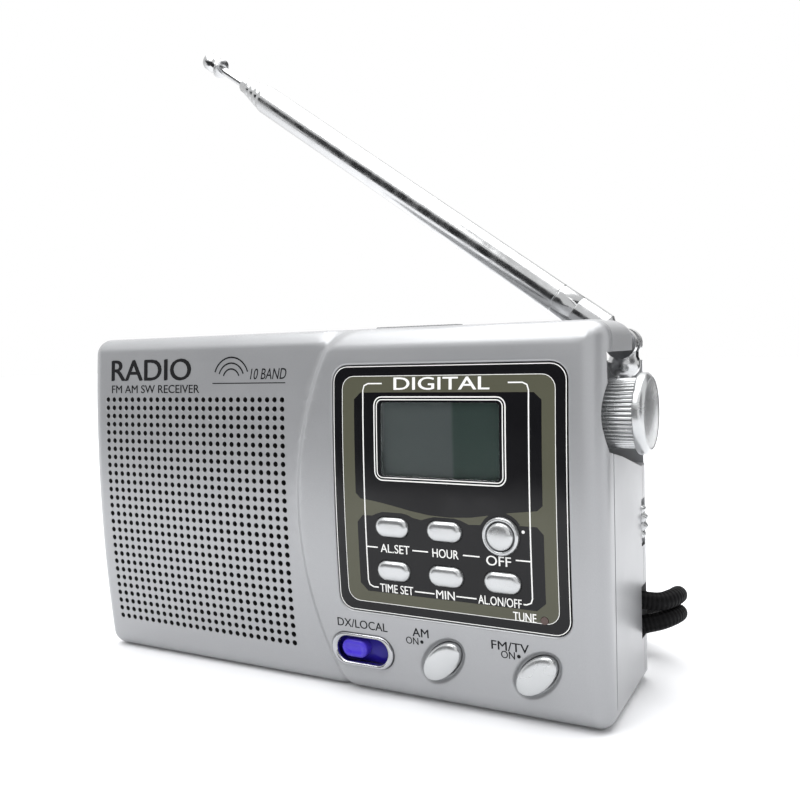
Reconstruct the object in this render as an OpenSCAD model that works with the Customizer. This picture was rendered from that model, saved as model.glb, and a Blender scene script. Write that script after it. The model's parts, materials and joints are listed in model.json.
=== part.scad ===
/* [Case] */
// Width of the case
case_w = 128; // [124:1:132]
// Height of the case
case_h = 77; // [75:1:80]
// Depth of the case over the raised right half
case_d = 37; // [36:1:39]
// Wall thickness of the two shells
wall = 2; // [1.6:0.1:2.2]
// Corner radius of the front outline
corner_r = 3.5; // [3:0.5:5]
// Rounding of the front and rear edges
edge_r = 4.5; // [4:0.5:5]
// Radius of the convex front face
face_r = 330; // [300:10:400]
// Step from the grille side up to the raised side
face_step = 1.2; // [0.8:0.1:1.5]

/* [Grille] */
// Spacing of the grille holes
hole_pitch = 2; // [2:0.05:2.1]
// Diameter of a grille hole
hole_d = 1.2; // [0.8:0.1:1.4]
// Columns of holes
hole_cols = 27; // [20:1:27]
// Rows of holes
hole_rows = 28; // [20:1:28]

/* [Display] */
// Width of the printed panel
panel_w = 50; // [49:0.5:51]
// Height of the printed panel
panel_h = 51; // [50:0.5:52]
// Width of the display window
window_w = 25.4; // [24:0.2:26]
// Height of the display window
window_h = 14.7; // [13:0.2:15]

/* [Controls] */
// Length of a pill button
pill_w = 7.4; // [6.5:0.1:7.6]
// Height of a pill button
pill_h = 4; // [3.5:0.1:4.2]
// Travel of a clock button
pill_travel = 0.6; // [0.4:0.1:0.6]
// Diameter of the tuning knob
knob_d = 15.6; // [14:0.2:16]
// Diameter of the volume wheel
wheel_d = 18; // [17.6:0.1:18.4]

/* [Antenna] */
// Angle of the raised antenna above its folded place
rest_tilt = 35.8; // [20:0.1:60]
// Outside diameter of the largest antenna tube
tube_d = 6.8; // [6:0.1:6.8]
// Length of the whole collapsed antenna from its hinge to its tip
mast_len = 130.7; // [124:0.1:134]

/* [Strap] */
// Diameter of the braided wrist cord
cord_d = 3.8; // [3:0.2:3.9]

/* [Hidden] */
$fn = 64;
face_z = 43;                        // height at which the front bulges most
front_y = -case_d / 2;              // raised front
low_y = front_y + face_step;        // grille front
back_y = case_d / 2;
seam_y = 12.2;                      // joint between the two shells
groove_y = -11.8;                   // decorative groove behind the front rim
half_w = case_w / 2;
gap = 0.1;                          // clearance round a fixed inset part
slack = 0.15;                       // clearance round a part that moves

raise_r = 83.5;                     // left edge of the raised half is an arc
raise_c = [80.3, 39];

grille_x = -58.3;
grille_z = 8.4;
grille_margin = 2;
grille_w = (hole_cols - 1) * hole_pitch + 2 * grille_margin;
grille_h = (hole_rows - 1) * hole_pitch + 2 * grille_margin;
grille_back = -14.4;                // flat back of the grille insert
speaker_x = grille_x + (hole_cols - 1) * hole_pitch / 2;
speaker_z = grille_z + (hole_rows - 1) * hole_pitch / 2;
speaker_r = 25;

panel_c = [32.4, 44];
panel_r = 3.3;
panel_y = front_y + 0.2;            // panel face, a little below the rim
panel_t = 1.1;
floor_y = panel_y + panel_t + 0.04; // shell floor under the panel
inner_y = low_y + 2.2;              // inside of the front wall
window_c = [31.4, 54.6];

pill_x = [20.8, 32.4, 44.2];
pill_z = [36.8, 27.8];
off_r = 2.7;
off_ring_r = 3.7;
led_c = [52.2, 21.3];
led_r = 0.75;

am_c = [30.5, 10.2];
fm_c = [50.2, 10.3];
oval_b = 2.9;                       // half width of an oval power button
oval_a = 5;                         // half length of it
oval_half = sqrt((pow(oval_a + 0.7, 2) + pow(oval_b + 0.7, 2)) / 2);
power_travel = 1.4;

range_c = [12, 9.8];
range_slot_w = 12.2;
range_slot_h = 5.4;
range_travel = 5;
range_grip_x = 9.9;

bay_x = 56;                         // inner wall of the bay in the right side
bay_top = 71;
bay_back = back_y - 2.2;
knob_y = -5;
knob_z = 59.2;
knob_face_x = 69.8;
knob_back_x = 57;
bay_r = 11.3;                       // hollow in the bay's front wall, round the knob
bay_z = [52.8, 65.3];               // how far that hollow reaches
bay_front = -14.4;

strip_y = -1;                        // strip of side wall above the bay, and its rounding
strip_r = 5.4;
rest_z = 68.75;                       // floor of the trough for the folded antenna
rest_y = 6.6;
swivel_x = 61;
swivel_y = 10.2;
hinge_z = 72.33;
ball_r = 3.3;
ball_z = 68.2;
pin_r = 1;
stem_r = 1.5;
section_gap = 0.06;                 // radial clearance between nested tubes
section_wall = 0.34;
section_n = 5;                      // four tubes and the solid rod
ferrule_at = 12.03;
ferrule_len = 5.1;
tube_end = 109.33;
cone_len = 7.5;
tip_len = 5.5;
tip_d = 4.2;
section_start = 19.23;                 // where the inner sections begin

wheel_c = [56, 35];
wheel_t = 2.6;
slot_z = 16.2;                      // strap slot
slot_h = 11;
slot_w = 4.8;
bar_x = 60.2;
bar_z = 15.5;
bar_r = 0.8;
bight_r = bar_r + cord_d / 2 + 0.1;

board_y = 2;
board_t = 1.6;
clock_y = -10.6;
clock_t = 1.2;
band_x = 19.9;
band_y = -1.8;
band_slot = [4.3, 37];
band_grip_w = 19.4;

cell_d = 14.3;
cell_l = 50.2;
cell_x = -58;
cell_y = 8.4;
cell_z = [17.3, 32.7];
tray_x = [-60.05, -5.75];           // inside of the battery tray
tray_z = [9.9, 40.1];
tray_y = 1;
tray_wall = 0.85;
door_end = -3.4;
door_z = [8.6, 41.4];
door_t = 1.8;
tongue = 0.7;                       // how far the door reaches under its rails
tongue_t = 1;
screw_at = [[-58, 65.4], [49, 47.4], [41.5, 7], [-58, 4.8]];
board_screw_at = [[4, 60], [0.6, 21], [58.2, 6.8]];

// Wrist strap, from the upper strand at the slot round to the lower one.
strap_path = [
    [62.6, 12.2, 18.3], [66.7, 14, 17.8], [68.9, 17.2, 18], [69.3, 21.1, 17.6],
    [68.3, 24.6, 16.4], [65.9, 29, 14], [62, 33.7, 11.2], [57, 38, 8],
    [50.5, 41.8, 5], [43, 44.5, 3], [34, 46, 2], [20, 47.3, 2],
    [5, 48.3, 2], [-11, 49, 2], [-26, 49.3, 2], [-36, 49, 2],
    [-42.5, 46.5, 2], [-45.8, 41, 2], [-45, 35, 2], [-40.5, 31, 2],
    [-34, 29.5, 2], [-20, 29.3, 2], [-5, 29.3, 2], [10, 29.5, 2],
    [25, 29.8, 2], [38, 30.3, 2], [47, 31, 2.2], [54, 31.6, 3.9],
    [60.5, 31, 6.9], [65.6, 28.3, 10], [68.3, 24.4, 12.3], [69.3, 21.1, 13.6],
    [68.9, 17.2, 14], [66.7, 14, 13.6], [62.6, 12.2, 12.7]];
strap_steps = 2;
strap_sides = 8;

function pill_at(col, row) = [pill_x[col], pill_z[row]];
// How far the curved front lies behind its highest line at height z.
function sag(z) = face_r - sqrt(face_r * face_r - (z - face_z) * (z - face_z));
// Where the flange of a key of that half height rests on the curved inside of the front.
function flange_y(z, half) = inner_y + max(sag(z - half), sag(z + half)) + 0.1;
function section_d(i) = tube_d - 2 * i * (section_wall + section_gap);
function section_end(i) = tube_end + i * cone_len / (section_n - 1);

// ---- shared shapes -------------------------------------------------------

module rounded_rect(w, h, r) {
    square([w - 2 * r, h], center = true);
    square([w, h - 2 * r], center = true);
    for (x = [-1, 1], y = [-1, 1])
        translate([x * (w / 2 - r), y * (h / 2 - r)]) circle(r = r);
}

module stadium(w, h) {
    square([w - h, h], center = true);
    for (x = [-1, 1]) translate([x * (w - h) / 2, 0]) circle(d = h);
}

// A prism that runs back along +Y from y0, drawn in x and z.
module along_y(y0, depth) {
    translate([0, y0 + depth, 0]) rotate([90, 0, 0]) linear_extrude(depth) children();
}

module rod_y(x, z, r, y0, y1) {
    translate([x, y1, z]) rotate([90, 0, 0]) cylinder(r = r, h = y1 - y0);
}

module rod_x(y, z, r, x0, x1) {
    translate([x0, y, z]) rotate([0, 90, 0]) cylinder(r = r, h = x1 - x0);
}

module box(low, high) {
    translate(low) cube([for (i = [0:2]) high[i] - low[i]]);
}

// The case block, shrunk by inset on every side.
module case_block(inset) {
    w = case_w - 2 * inset;
    h = case_h - 2 * inset;
    d = case_d - 2 * inset;
    rc = corner_r - min(inset, corner_r - 1);
    re = edge_r - inset;
    intersection() {
        along_y(-d / 2, d) translate([0, case_h / 2]) rounded_rect(w, h, rc);
        translate([0, 0, inset]) linear_extrude(h) rounded_rect(w, d, re);
        translate([-w / 2, 0, case_h / 2]) rotate([90, 0, 90])
            linear_extrude(w) rounded_rect(d, h, re);
    }
}

// Everything behind the curved front whose highest line is at y.
module behind_face(y) {
    translate([-case_w, y + face_r, face_z]) rotate([0, 90, 0])
        cylinder(r = face_r, h = 2 * case_w, $fn = 360);
}

module curved_sheet(y, t) {
    difference() {
        intersection() {
            children();
            behind_face(y);
        }
        behind_face(y + t);
    }
}

module raised_outline() {
    translate(raise_c) circle(r = raise_r, $fn = 180);
}

module grille_outline(grow) {
    translate([speaker_x, speaker_z])
        rounded_rect(grille_w + 2 * grow, grille_h + 2 * grow, 1.5 + grow);
}

module panel_outline(grow) {
    translate(panel_c) rounded_rect(panel_w + 2 * grow, panel_h + 2 * grow, panel_r + grow);
}

module pill_outline(grow) {
    stadium(pill_w + 2 * grow, pill_h + 2 * grow);
}

module all_pill_holes(grow) {
    for (c = [0:2], r = [0:1])
        if (!(c == 2 && r == 0)) translate(pill_at(c, r)) pill_outline(grow);
}

module oval(grow) {
    rotate(45) polygon([for (t = [0:7.5:359]) [(oval_a + grow) * cos(t), (oval_b + grow) * sin(t)]]);
}

// The bay in the right side that holds the tuning knob and the antenna base.
module side_bay() {
    intersection() {
        rod_x(knob_y, knob_z, bay_r, bay_x, half_w + 1);
        box([bay_x - 1, knob_y - bay_r - 1, bay_z[0]], [half_w + 2, knob_y, bay_z[1]]);
    }
    translate([bay_x, 0, 0]) rotate([90, 0, 90]) linear_extrude(half_w + 1 - bay_x)
        polygon([[bay_front, bay_top], [bay_front, bay_z[0]], [knob_y, 50.9], [11, 46.9],
                 [bay_back, 46.9], [bay_back, bay_top]]);
    // round rear corner of the strip above the bay
    difference() {
        box([bay_x, strip_y, bay_top - 0.5], [half_w + 1, rest_y + 0.5, case_h + 1]);
        rod_x(strip_y, case_h - strip_r, strip_r, bay_x - 1, half_w + 2);
    }
}

// The open trough along the top rear edge, and its drop into the side bay.
module antenna_trough() {
    box([-half_w - 1, rest_y, rest_z], [half_w + 1, back_y + 1, case_h + 1]);
    box([bay_x, rest_y, bay_top - 1], [half_w + 1, bay_back, case_h + 1]);
}

module wheel_slot() {
    rod_y(wheel_c[0], wheel_c[1], wheel_d / 2 + 0.4, seam_y - wheel_t / 2 - 0.3, seam_y + wheel_t / 2 + 0.3);
}

module side_slot(z, h, y_half) {
    box([half_w - 9.2, seam_y - y_half, z - h / 2], [half_w + 1, seam_y + y_half, z + h / 2]);
}

// ---- case ----------------------------------------------------------------

module shell_blank() {
    intersection() {
        case_block(0);
        union() {
            behind_face(low_y);
            intersection() {
                behind_face(front_y);
                along_y(front_y - 1, 12) raised_outline();
            }
        }
    }
}

module hollow() {
    difference() {
        intersection() {
            case_block(wall);
            behind_face(inner_y);
        }
        // walls of the bay, the trough, the strap pocket and the jack posts
        box([bay_x - 1.5, -18, 45.7], [half_w, back_y, case_h]);
        box([-half_w, rest_y - 1.5, rest_z - 1.6], [half_w, back_y, case_h]);
        box([53.4, seam_y - 5.4, slot_z - 7.6], [half_w, back_y, slot_z + 7.6]);
    }
}

module front_shell() {
    color("silver") difference() {
        union() {
            difference() {
                intersection() {
                    shell_blank();
                    box([-half_w, front_y - 1, -1], [half_w, seam_y, case_h + 1]);
                }
                hollow();
            }
            for (s = screw_at) rod_y(s[0], s[1], 2.6, -15.4, seam_y);
            for (s = board_screw_at) rod_y(s[0], s[1], 2.4, -15.4, board_y);
        }
        for (s = screw_at) rod_y(s[0], s[1], 1.15, seam_y - 10, seam_y + 1);
        for (s = board_screw_at) rod_y(s[0], s[1], 1.15, board_y - 5, board_y + 1);
        // groove round the sides and top
        difference() {
            along_y(groove_y, 0.6) translate([0, case_h / 2]) square([case_w + 2, case_h + 2], center = true);
            along_y(groove_y - 1, 3) translate([0, case_h / 2 - 2])
                rounded_rect(case_w - 0.8, case_h + 3.2, corner_r);
        }
        along_y(front_y - 1, 8) grille_outline(gap);
        // pocket and openings of the display panel
        difference() {
            along_y(front_y - 1, 6) panel_outline(gap);
            behind_face(floor_y);
        }
        along_y(front_y - 1, 6) translate(window_c) rounded_rect(26.8, 16.2, 1);
        along_y(front_y - 1, 6) all_pill_holes(slack);
        along_y(front_y - 1, 6) translate(pill_at(2, 0)) circle(r = off_r + slack);
        along_y(front_y - 1, 6) translate(led_c) circle(r = led_r + 0.05);
        // power buttons: a shallow dish and the hole through it
        for (c = [am_c, fm_c]) {
            along_y(front_y - 1, 3.3) translate(c) oval(0.8);
            along_y(front_y - 1, 8) translate(c) oval(slack);
        }
        // range slide: pocket for its bezel, slot, and room for the plate behind
        along_y(front_y - 1, 3.65) translate(range_c) stadium(14.9, 7.1);
        along_y(front_y - 1, 8) translate(range_c) stadium(range_slot_w, range_slot_h);
        box([1.4, -14.78, range_c[1] - 3.3], [23.2, -12, range_c[1] + 3.3]);
        // band selector slot in the top
        box([band_slot[0], band_y - 2.4, case_h - 3], [band_slot[1], band_y + 2.4, case_h + 1]);
        side_bay();
        antenna_trough();
        rod_x(knob_y, knob_z, 1.55, bay_x - 3, bay_x + 1);
        wheel_slot();
        side_slot(slot_z, slot_h, slot_w / 2);
        rod_y(bar_x, bar_z, bar_r, seam_y - 4.6, seam_y + 1);
        rod_x(5, 57, 2.6, -half_w - 1, -half_w + 4);
        rod_x(5, 47, 2.8, -half_w - 1, -half_w + 4);
    }
}

module speaker_grille() {
    color("gainsboro") difference() {
        intersection() {
            along_y(front_y, grille_back - front_y) grille_outline(0);
            behind_face(low_y);
        }
        for (i = [0:hole_cols - 1], j = [0:hole_rows - 1])
            rod_y(grille_x + i * hole_pitch, grille_z + j * hole_pitch, hole_d / 2, front_y, front_y + 8);
    }
}

module tray_block(grow, y0, y1) {
    box([tray_x[0] - grow, y0, tray_z[0] - grow], [tray_x[1] + grow, y1, tray_z[1] + grow]);
}

// The door's plate and the wider tongue layer under it.
module door_block(grow) {
    y = back_y - door_t;
    box([-half_w - 1, y - grow, door_z[0] - grow], [door_end + grow, back_y + 1, door_z[1] + grow]);
    box([-half_w - 1, y - tongue_t - grow, door_z[0] - tongue - grow],
        [door_end + grow, y + grow, door_z[1] + tongue + grow]);
}

module rear_shell() {
    color("silver") difference() {
        union() {
            difference() {
                intersection() {
                    case_block(0);
                    box([-half_w, seam_y, -1], [half_w, back_y, case_h + 1]);
                }
                difference() {
                    hollow();
                    box([-half_w, back_y - 3.6, 2], [door_end + 2, back_y, door_z[1] + 2]);
                }
            }
            tray_block(tray_wall, tray_y - 0.8, back_y - 3);
            for (s = screw_at) rod_y(s[0], s[1], 3.1, seam_y, back_y - 1);
        }
        tray_block(0, tray_y, back_y + 1);
        door_block(0.1);
        for (s = screw_at) {
            rod_y(s[0], s[1], 1.4, seam_y - 1, back_y + 1);
            rod_y(s[0], s[1], 2.7, back_y - 2.6, back_y + 1);
        }
        side_bay();
        antenna_trough();
        wheel_slot();
        side_slot(slot_z, slot_h, slot_w / 2);
        rod_y(bar_x, bar_z, bar_r, seam_y - 1, seam_y + 4.2);
    }
}

module battery_door() {
    color("silver") difference() {
        intersection() {
            case_block(0);
            door_block(0);
        }
        // thumb ribs
        for (i = [0:4]) box([-16 + 1.6 * i, back_y - 0.5, 18],
                            [-15.2 + 1.6 * i, back_y + 1, 32]);
    }
}

// ---- display -------------------------------------------------------------

module display_panel() {
    color([0.2, 0.2, 0.17]) difference() {
        curved_sheet(panel_y, panel_t) along_y(front_y - 1, 6) panel_outline(0);
        along_y(front_y - 1, 6) translate(window_c) rounded_rect(window_w + 0.1, window_h + 0.1, 0.8);
        along_y(front_y - 1, 6) all_pill_holes(slack);
        along_y(front_y - 1, 6) translate(pill_at(2, 0)) circle(r = off_ring_r + 0.05);
        along_y(front_y - 1, 6) translate(led_c) circle(r = led_r + 0.05);
    }
}

module lcd_window() {
    color([0.75, 0.8, 0.78, 0.5]) curved_sheet(panel_y + 0.05, panel_t - 0.05)
        along_y(front_y - 1, 6) translate(window_c) rounded_rect(window_w, window_h, 0.75);
}

module lcd_glass() {
    color([0.52, 0.57, 0.52])
        along_y(floor_y + 0.62, 1.4) translate(window_c) rounded_rect(26.6, 16, 0.9);
}

module lcd_holder() {
    color("white") difference() {
        union() {
            along_y(-14.3, clock_y + 14.3) translate(window_c) rounded_rect(29, 20, 1);
            along_y(-15.1, 1) translate(window_c) rounded_rect(26.4, 15.8, 1);
        }
        along_y(-16, 10) translate(window_c) rounded_rect(24, 13.5, 1);
    }
}

module clock_board() {
    color("darkgreen") along_y(clock_y, clock_t) difference() {
        union() {
            translate([8, 19]) square([48, 25.4]);
            translate([15, 44]) square([30.8, 21]);
            translate([4, 5]) square([18, 14.1]);
        }
        translate(led_c) circle(r = 0.4);
    }
}

module clock_switches() {
    color("dimgray") for (c = [0:2], r = [0:1]) {
        p = pill_at(c, r);
        box([p[0] - 2.2, clock_y - 2.2, p[1] - 2.2], [p[0] + 2.2, clock_y, p[1] + 2.2]);
        rod_y(p[0], p[1], 1, clock_y - 2.6, clock_y - 2.1);
    }
}

// A key cap that stands proud of the panel, with a flange behind the floor.
module key_cap(at, proud, half) {
    top = panel_y + sag(at[1]) - proud;
    flange = flange_y(at[1], half + 0.8);
    translate([at[0], 0, at[1]]) {
        along_y(top, flange + 0.4 - top) children(0);
        along_y(flange, 0.6) children(1);
    }
}

module pill_button(col, row) {
    color("gainsboro") key_cap(pill_at(col, row), 0.9, pill_h / 2) {
        pill_outline(0);
        pill_outline(0.6);
    }
}

module alarm_set_button() pill_button(0, 0);
module hour_button() pill_button(1, 0);
module time_set_button() pill_button(0, 1);
module minute_button() pill_button(1, 1);
module alarm_button() pill_button(2, 1);

module off_button() {
    color("gainsboro") key_cap(pill_at(2, 0), 1.5, off_r) {
        circle(r = off_r);
        circle(r = off_r + 0.8);
    }
}

module off_button_ring() {
    p = pill_at(2, 0);
    y = panel_y + sag(p[1]);
    color("silver") difference() {
        rod_y(p[0], p[1], off_ring_r, y - 0.9, y + panel_t - 0.1);
        rod_y(p[0], p[1], off_r + slack, y - 2, y + 3);
    }
}

module tune_led() {
    color("red") {
        rod_y(led_c[0], led_c[1], led_r, panel_y + 0.6, inner_y + sag(led_c[1]) + 0.2);
        rod_y(led_c[0], led_c[1], 1.5, inner_y + sag(led_c[1]) + 0.1, clock_y);
    }
}

// ---- power buttons and range slide ---------------------------------------

module power_button(c) {
    y = front_y + sag(c[1]);
    flange = flange_y(c[1], oval_half);
    color("gainsboro") translate([c[0], 0, c[1]]) {
        along_y(y - 1.2, flange + 0.5 - y + 1.2) oval(0);
        along_y(flange, 1) oval(0.7);
    }
}

module am_button() power_button(am_c);
module fm_button() power_button(fm_c);

module power_switches() {
    color("dimgray") for (c = [am_c, fm_c]) {
        y = flange_y(c[1], oval_half) + 1 + power_travel + 0.1;
        rod_y(c[0], c[1], 1.5, y, y + 1);
        box([c[0] - 3.4, y + 0.9, c[1] - 3.4], [c[0] + 3.4, board_y, c[1] + 3.4]);
    }
}

module range_bezel() {
    y = front_y + sag(range_c[1]);
    color("white") along_y(y - 0.5, 1.45) difference() {
        translate(range_c) stadium(14.8, 7);
        translate(range_c) stadium(range_slot_w, range_slot_h);
    }
}

module range_knob() {
    y = front_y + sag(range_c[1]);
    x = range_grip_x;
    z = range_c[1];
    color("mediumblue") {
        box([1.6, -14.7, z - 3.1], [18, -13.8, z + 3.1]);
        along_y(y - 0.2, 2.4) translate([x, z]) stadium(6.2, 3.8);
        box([x - 1, -13.9, z - 1], [x + 1, clock_y - 2.5, z + 1]);
    }
}

module range_switch() {
    color("dimgray") box([range_grip_x - 3, clock_y - 2.4, range_c[1] - 2],
                         [range_grip_x + 8, clock_y, range_c[1] + 2]);
}

// ---- tuning --------------------------------------------------------------

module tuning_knob() {
    ribs = 48;
    drum_r = knob_d / 2 - 1.1;
    depth = knob_face_x - knob_back_x;
    color("silver") translate([knob_back_x, knob_y, knob_z]) rotate([0, 90, 0]) difference() {
        union() {
            cylinder(r = drum_r - 0.35, h = depth - 1);
            translate([0, 0, depth - 2.3]) cylinder(d = knob_d, h = 1.4);
            translate([0, 0, depth - 1]) cylinder(d1 = knob_d - 0.05, d2 = knob_d - 1.6, h = 1);
            for (i = [0:ribs - 1]) rotate(i * 360 / ribs)
                translate([drum_r - 0.6, -0.2, 0]) cube([0.6, 0.4, depth - 2]);
        }
        translate([0, 0, -1]) cylinder(r = 1.5, h = 8);
    }
}

module tuning_shaft() {
    color("silver") rod_x(knob_y, knob_z, 1.5, 54.4, knob_back_x + 7);
}

module tuning_capacitor() {
    color("ivory") difference() {
        box([46.4, -14, 50.2], [54.2, 4, 68.2]);
        box([46, board_y, 50], [55, 5, 52]);
        rod_x(knob_y, knob_z, 1.2, 54, 55);
    }
}

// ---- volume --------------------------------------------------------------

module volume_wheel() {
    ribs = 28;
    y0 = seam_y - wheel_t / 2;
    color("silver") translate([wheel_c[0], y0 + wheel_t, wheel_c[1]]) rotate([90, 0, 0]) {
        cylinder(d = wheel_d - 0.8, h = wheel_t);
        for (i = [0:ribs - 1]) rotate(i * 360 / ribs)
            translate([wheel_d / 2 - 0.7, -0.55, 0]) cube([0.7, 1.1, wheel_t]);
        cylinder(r = 1.5, h = wheel_t + 3);
    }
}

module volume_pot() {
    y1 = seam_y - wheel_t / 2 - 0.3;
    color("dimgray") difference() {
        rod_y(wheel_c[0], wheel_c[1], 5.6, board_y + board_t, y1);
        rod_y(wheel_c[0], wheel_c[1], 1.54, y1 - 3.2, y1 + 1);
    }
}

// ---- band selector -------------------------------------------------------

module band_knob() {
    color("darkgray") {
        difference() {
            box([band_x - band_grip_w / 2, band_y - 2.1, case_h - 3],
                [band_x + band_grip_w / 2, band_y + 2.1, case_h + 0.5]);
            for (i = [0:22])
                box([band_x - 9.05 + i * 0.8, band_y - 3, case_h - 0.1],
                    [band_x - 8.65 + i * 0.8, band_y + 3, case_h + 1]);
        }
        box([band_slot[0] - 6, band_y - 3.4, case_h - 3.5],
            [band_slot[1] + 5, band_y + 3.4, case_h - wall - 0.15]);
        box([band_x - 1, band_y - 1, case_h - 5], [band_x + 1, band_y + 1, case_h - 3]);
    }
}

module band_switch() {
    color("gainsboro") difference() {
        box([2, -5.6, 66.4], [38, board_y, case_h - 3.7]);
        box([band_x - 8, band_y - 1.2, case_h - 5.4], [band_x + 9, band_y + 1.2, case_h]);
    }
}

// ---- electronics ---------------------------------------------------------

module main_board() {
    color("goldenrod") along_y(board_y, board_t) difference() {
        union() {
            translate([-2.5, 4]) square([63.5, 41]);
            translate([-2.5, 44]) square([47.7, 24.5]);
        }
        for (s = screw_at) translate(s) circle(r = 2.85);
        for (s = board_screw_at) translate(s) circle(r = 1.3);
    }
}

module if_cans() {
    color("silver") for (i = [0:3])
        box([2 + 10 * i, board_y + board_t, 48], [9 + 10 * i, board_y + board_t + 8, 55]);
}

module electrolytics() {
    color("navy") for (p = [[12, 20], [22, 20], [32, 20], [12, 33], [46, 24]])
        rod_y(p[0], p[1], 3, board_y + board_t, board_y + board_t + 7);
}

module audio_chip() {
    color([0.15, 0.15, 0.15]) box([22, board_y + board_t, 30], [41, board_y + board_t + 3.5, 37]);
}

module ferrite_rod() {
    color([0.3, 0.3, 0.32]) rod_x(0, 68.6, 3.6, -54, -3);
}

module ferrite_coil() {
    color("orange") difference() {
        rod_x(0, 68.6, 4.4, -48, -22);
        rod_x(0, 68.6, 3.6, -51, -21);
    }
}

// ---- speaker -------------------------------------------------------------

module speaker_frame() {
    y = inner_y + 1.2;
    color("slategray") translate([speaker_x, y, speaker_z]) rotate([-90, 0, 0]) rotate_extrude()
        polygon([[speaker_r - 3, 0], [speaker_r, 0], [speaker_r, 1], [speaker_r - 3, 1],
                 [13, 9], [9, 9], [9, 8], [12.6, 8], [speaker_r - 4, 1]]);
}

module speaker_cone() {
    y = inner_y + 1.2;
    color([0.12, 0.12, 0.12]) translate([speaker_x, y, speaker_z]) rotate([-90, 0, 0]) rotate_extrude()
        polygon([[0, 4.6], [6, 6], [speaker_r - 5, 0.4], [speaker_r - 4, 0.4],
                 [speaker_r - 4, 0.8], [speaker_r - 4.8, 0.8], [6.2, 7], [0, 5.2]]);
}

module speaker_magnet() {
    y = inner_y + 10.2;
    color("gray") {
        rod_y(speaker_x, speaker_z, 12, y, y + 1.2);
        rod_y(speaker_x, speaker_z, 10, y + 1.2, y + 4.4);
    }
}

// ---- cells and sockets ---------------------------------------------------

module cell(z, flip) {
    dir = flip ? 1 : -1;
    x0 = cell_x + (flip ? 0 : 1);
    color("seagreen") {
        rod_x(cell_y, z, cell_d / 2, x0, x0 + cell_l - 1);
        rod_x(cell_y, z, 2.6, flip ? x0 + cell_l - 1 : x0 - 1, flip ? x0 + cell_l : x0);
    }
}

module upper_cell() cell(cell_z[1], true);
module lower_cell() cell(cell_z[0], false);

module cell_contacts() {
    color("silver") {
        x_low = cell_x - 2;
        box([x_low, cell_y - 5, cell_z[0] - 5], [x_low + 0.5, cell_y + 5, cell_z[1] + 5]);
        x_high = cell_x + cell_l + 1.5;
        box([x_high, cell_y - 5, cell_z[0] - 5], [x_high + 0.5, cell_y + 5, cell_z[0] + 5]);
        box([x_high, cell_y - 5, cell_z[1] - 5], [x_high + 0.5, cell_y + 5, cell_z[1] + 5]);
        for (k = [0:2]) {
            // spring turns on the flat ends
            translate([x_low + 0.5, cell_y, cell_z[1]]) rotate([0, 90, 0])
                difference() {
                    cylinder(r = 4.5 - k, h = 0.5 * (k + 1));
                    translate([0, 0, -1]) cylinder(r = 4 - k, h = 4);
                }
        }
    }
}

module socket(z, r, bore) {
    color([0.15, 0.15, 0.15]) difference() {
        union() {
            rod_x(5, z, r, -half_w + 0.2, -half_w + 3);
            box([-half_w + 2.2, 1, z - 4], [-half_w + 5.4, 9, z + 4]);
        }
        rod_x(5, z, bore, -half_w - 1, -half_w + 4.8);
    }
}

module earphone_jack() socket(57, 2.5, 1.8);
module power_jack() socket(47, 2.7, 2.1);

// ---- antenna -------------------------------------------------------------

module antenna_bracket() {
    color("lightgray") difference() {
        union() {
            box([bay_x, 4.6, 61.2], [bay_x + 7.8, 15.2, 63.6]);
            box([bay_x, 4.6, 50.4], [bay_x + 1.2, 15.2, 61.4]);
        }
        translate([swivel_x, swivel_y, 59]) cylinder(r = stem_r + 0.05, h = 6);
    }
}

module antenna_swivel() {
    color("lightgray") translate([swivel_x, swivel_y, 0]) {
        translate([0, 0, 59.9]) cylinder(r = 2.3, h = 1.1);
        translate([0, 0, 60.9]) cylinder(r = stem_r, h = 5);
        difference() {
            union() {
                translate([0, 0, ball_z]) sphere(r = ball_r);
                translate([0, 0, ball_z]) cylinder(r = ball_r - 0.3, h = hinge_z - ball_z);
                translate([0, ball_r - 0.1, hinge_z]) rotate([90, 0, 0])
                    cylinder(r = ball_r - 0.15, h = 2 * ball_r - 0.2);
            }
            translate([-5, -1.25, hinge_z - 3.6]) cube([10, 2.5, 9]);
            translate([0, 5, hinge_z]) rotate([90, 0, 0]) cylinder(r = pin_r, h = 10);
        }
    }
}

module antenna_pin() {
    color("silver") rod_y(swivel_x, hinge_z, pin_r, swivel_y - ball_r + 0.1, swivel_y + ball_r - 0.1);
}

// Turns a shape drawn along -X from the hinge up to the resting angle.
module mast() {
    translate([swivel_x, swivel_y, hinge_z]) rotate([0, rest_tilt, 0]) rotate([0, -90, 0]) children();
}

module tube(d, bore, z0, z1) {
    difference() {
        translate([0, 0, z0]) cylinder(d = d, h = z1 - z0);
        if (bore > 0) translate([0, 0, z0 - 1]) cylinder(d = bore, h = z1 - z0 + 2);
    }
}

module antenna_knuckle() {
    color("lightgray") mast() difference() {
        union() {
            translate([0, 1.15, 0]) rotate([90, 0, 0]) cylinder(r = 2.8, h = 2.3);
            translate([-2.8, -1.15, 0]) cube([5.6, 2.3, 5]);
            translate([0, 0, 3.8]) cylinder(d1 = 5, d2 = tube_d + 0.2, h = 1.2);
            translate([0, 0, 5]) cylinder(d = tube_d + 0.2, h = ferrule_at - 5);
            translate([0, 0, ferrule_at]) cylinder(d = tube_d - 2 * section_wall - 0.02, h = ferrule_len + 0.4);
        }
        translate([0, 5, 0]) rotate([90, 0, 0]) cylinder(r = pin_r + 0.04, h = 10);
        for (s = [-1, 1]) translate([-5, s > 0 ? 1.15 : -6.15, -4]) cube([10, 5, 7.6]);
    }
}

module antenna_section(i) {
    start = i == 0 ? ferrule_at : section_start;
    d = section_d(i);
    color("lightgray") mast() tube(d, d - 2 * section_wall, start, section_end(i));
}

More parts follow.
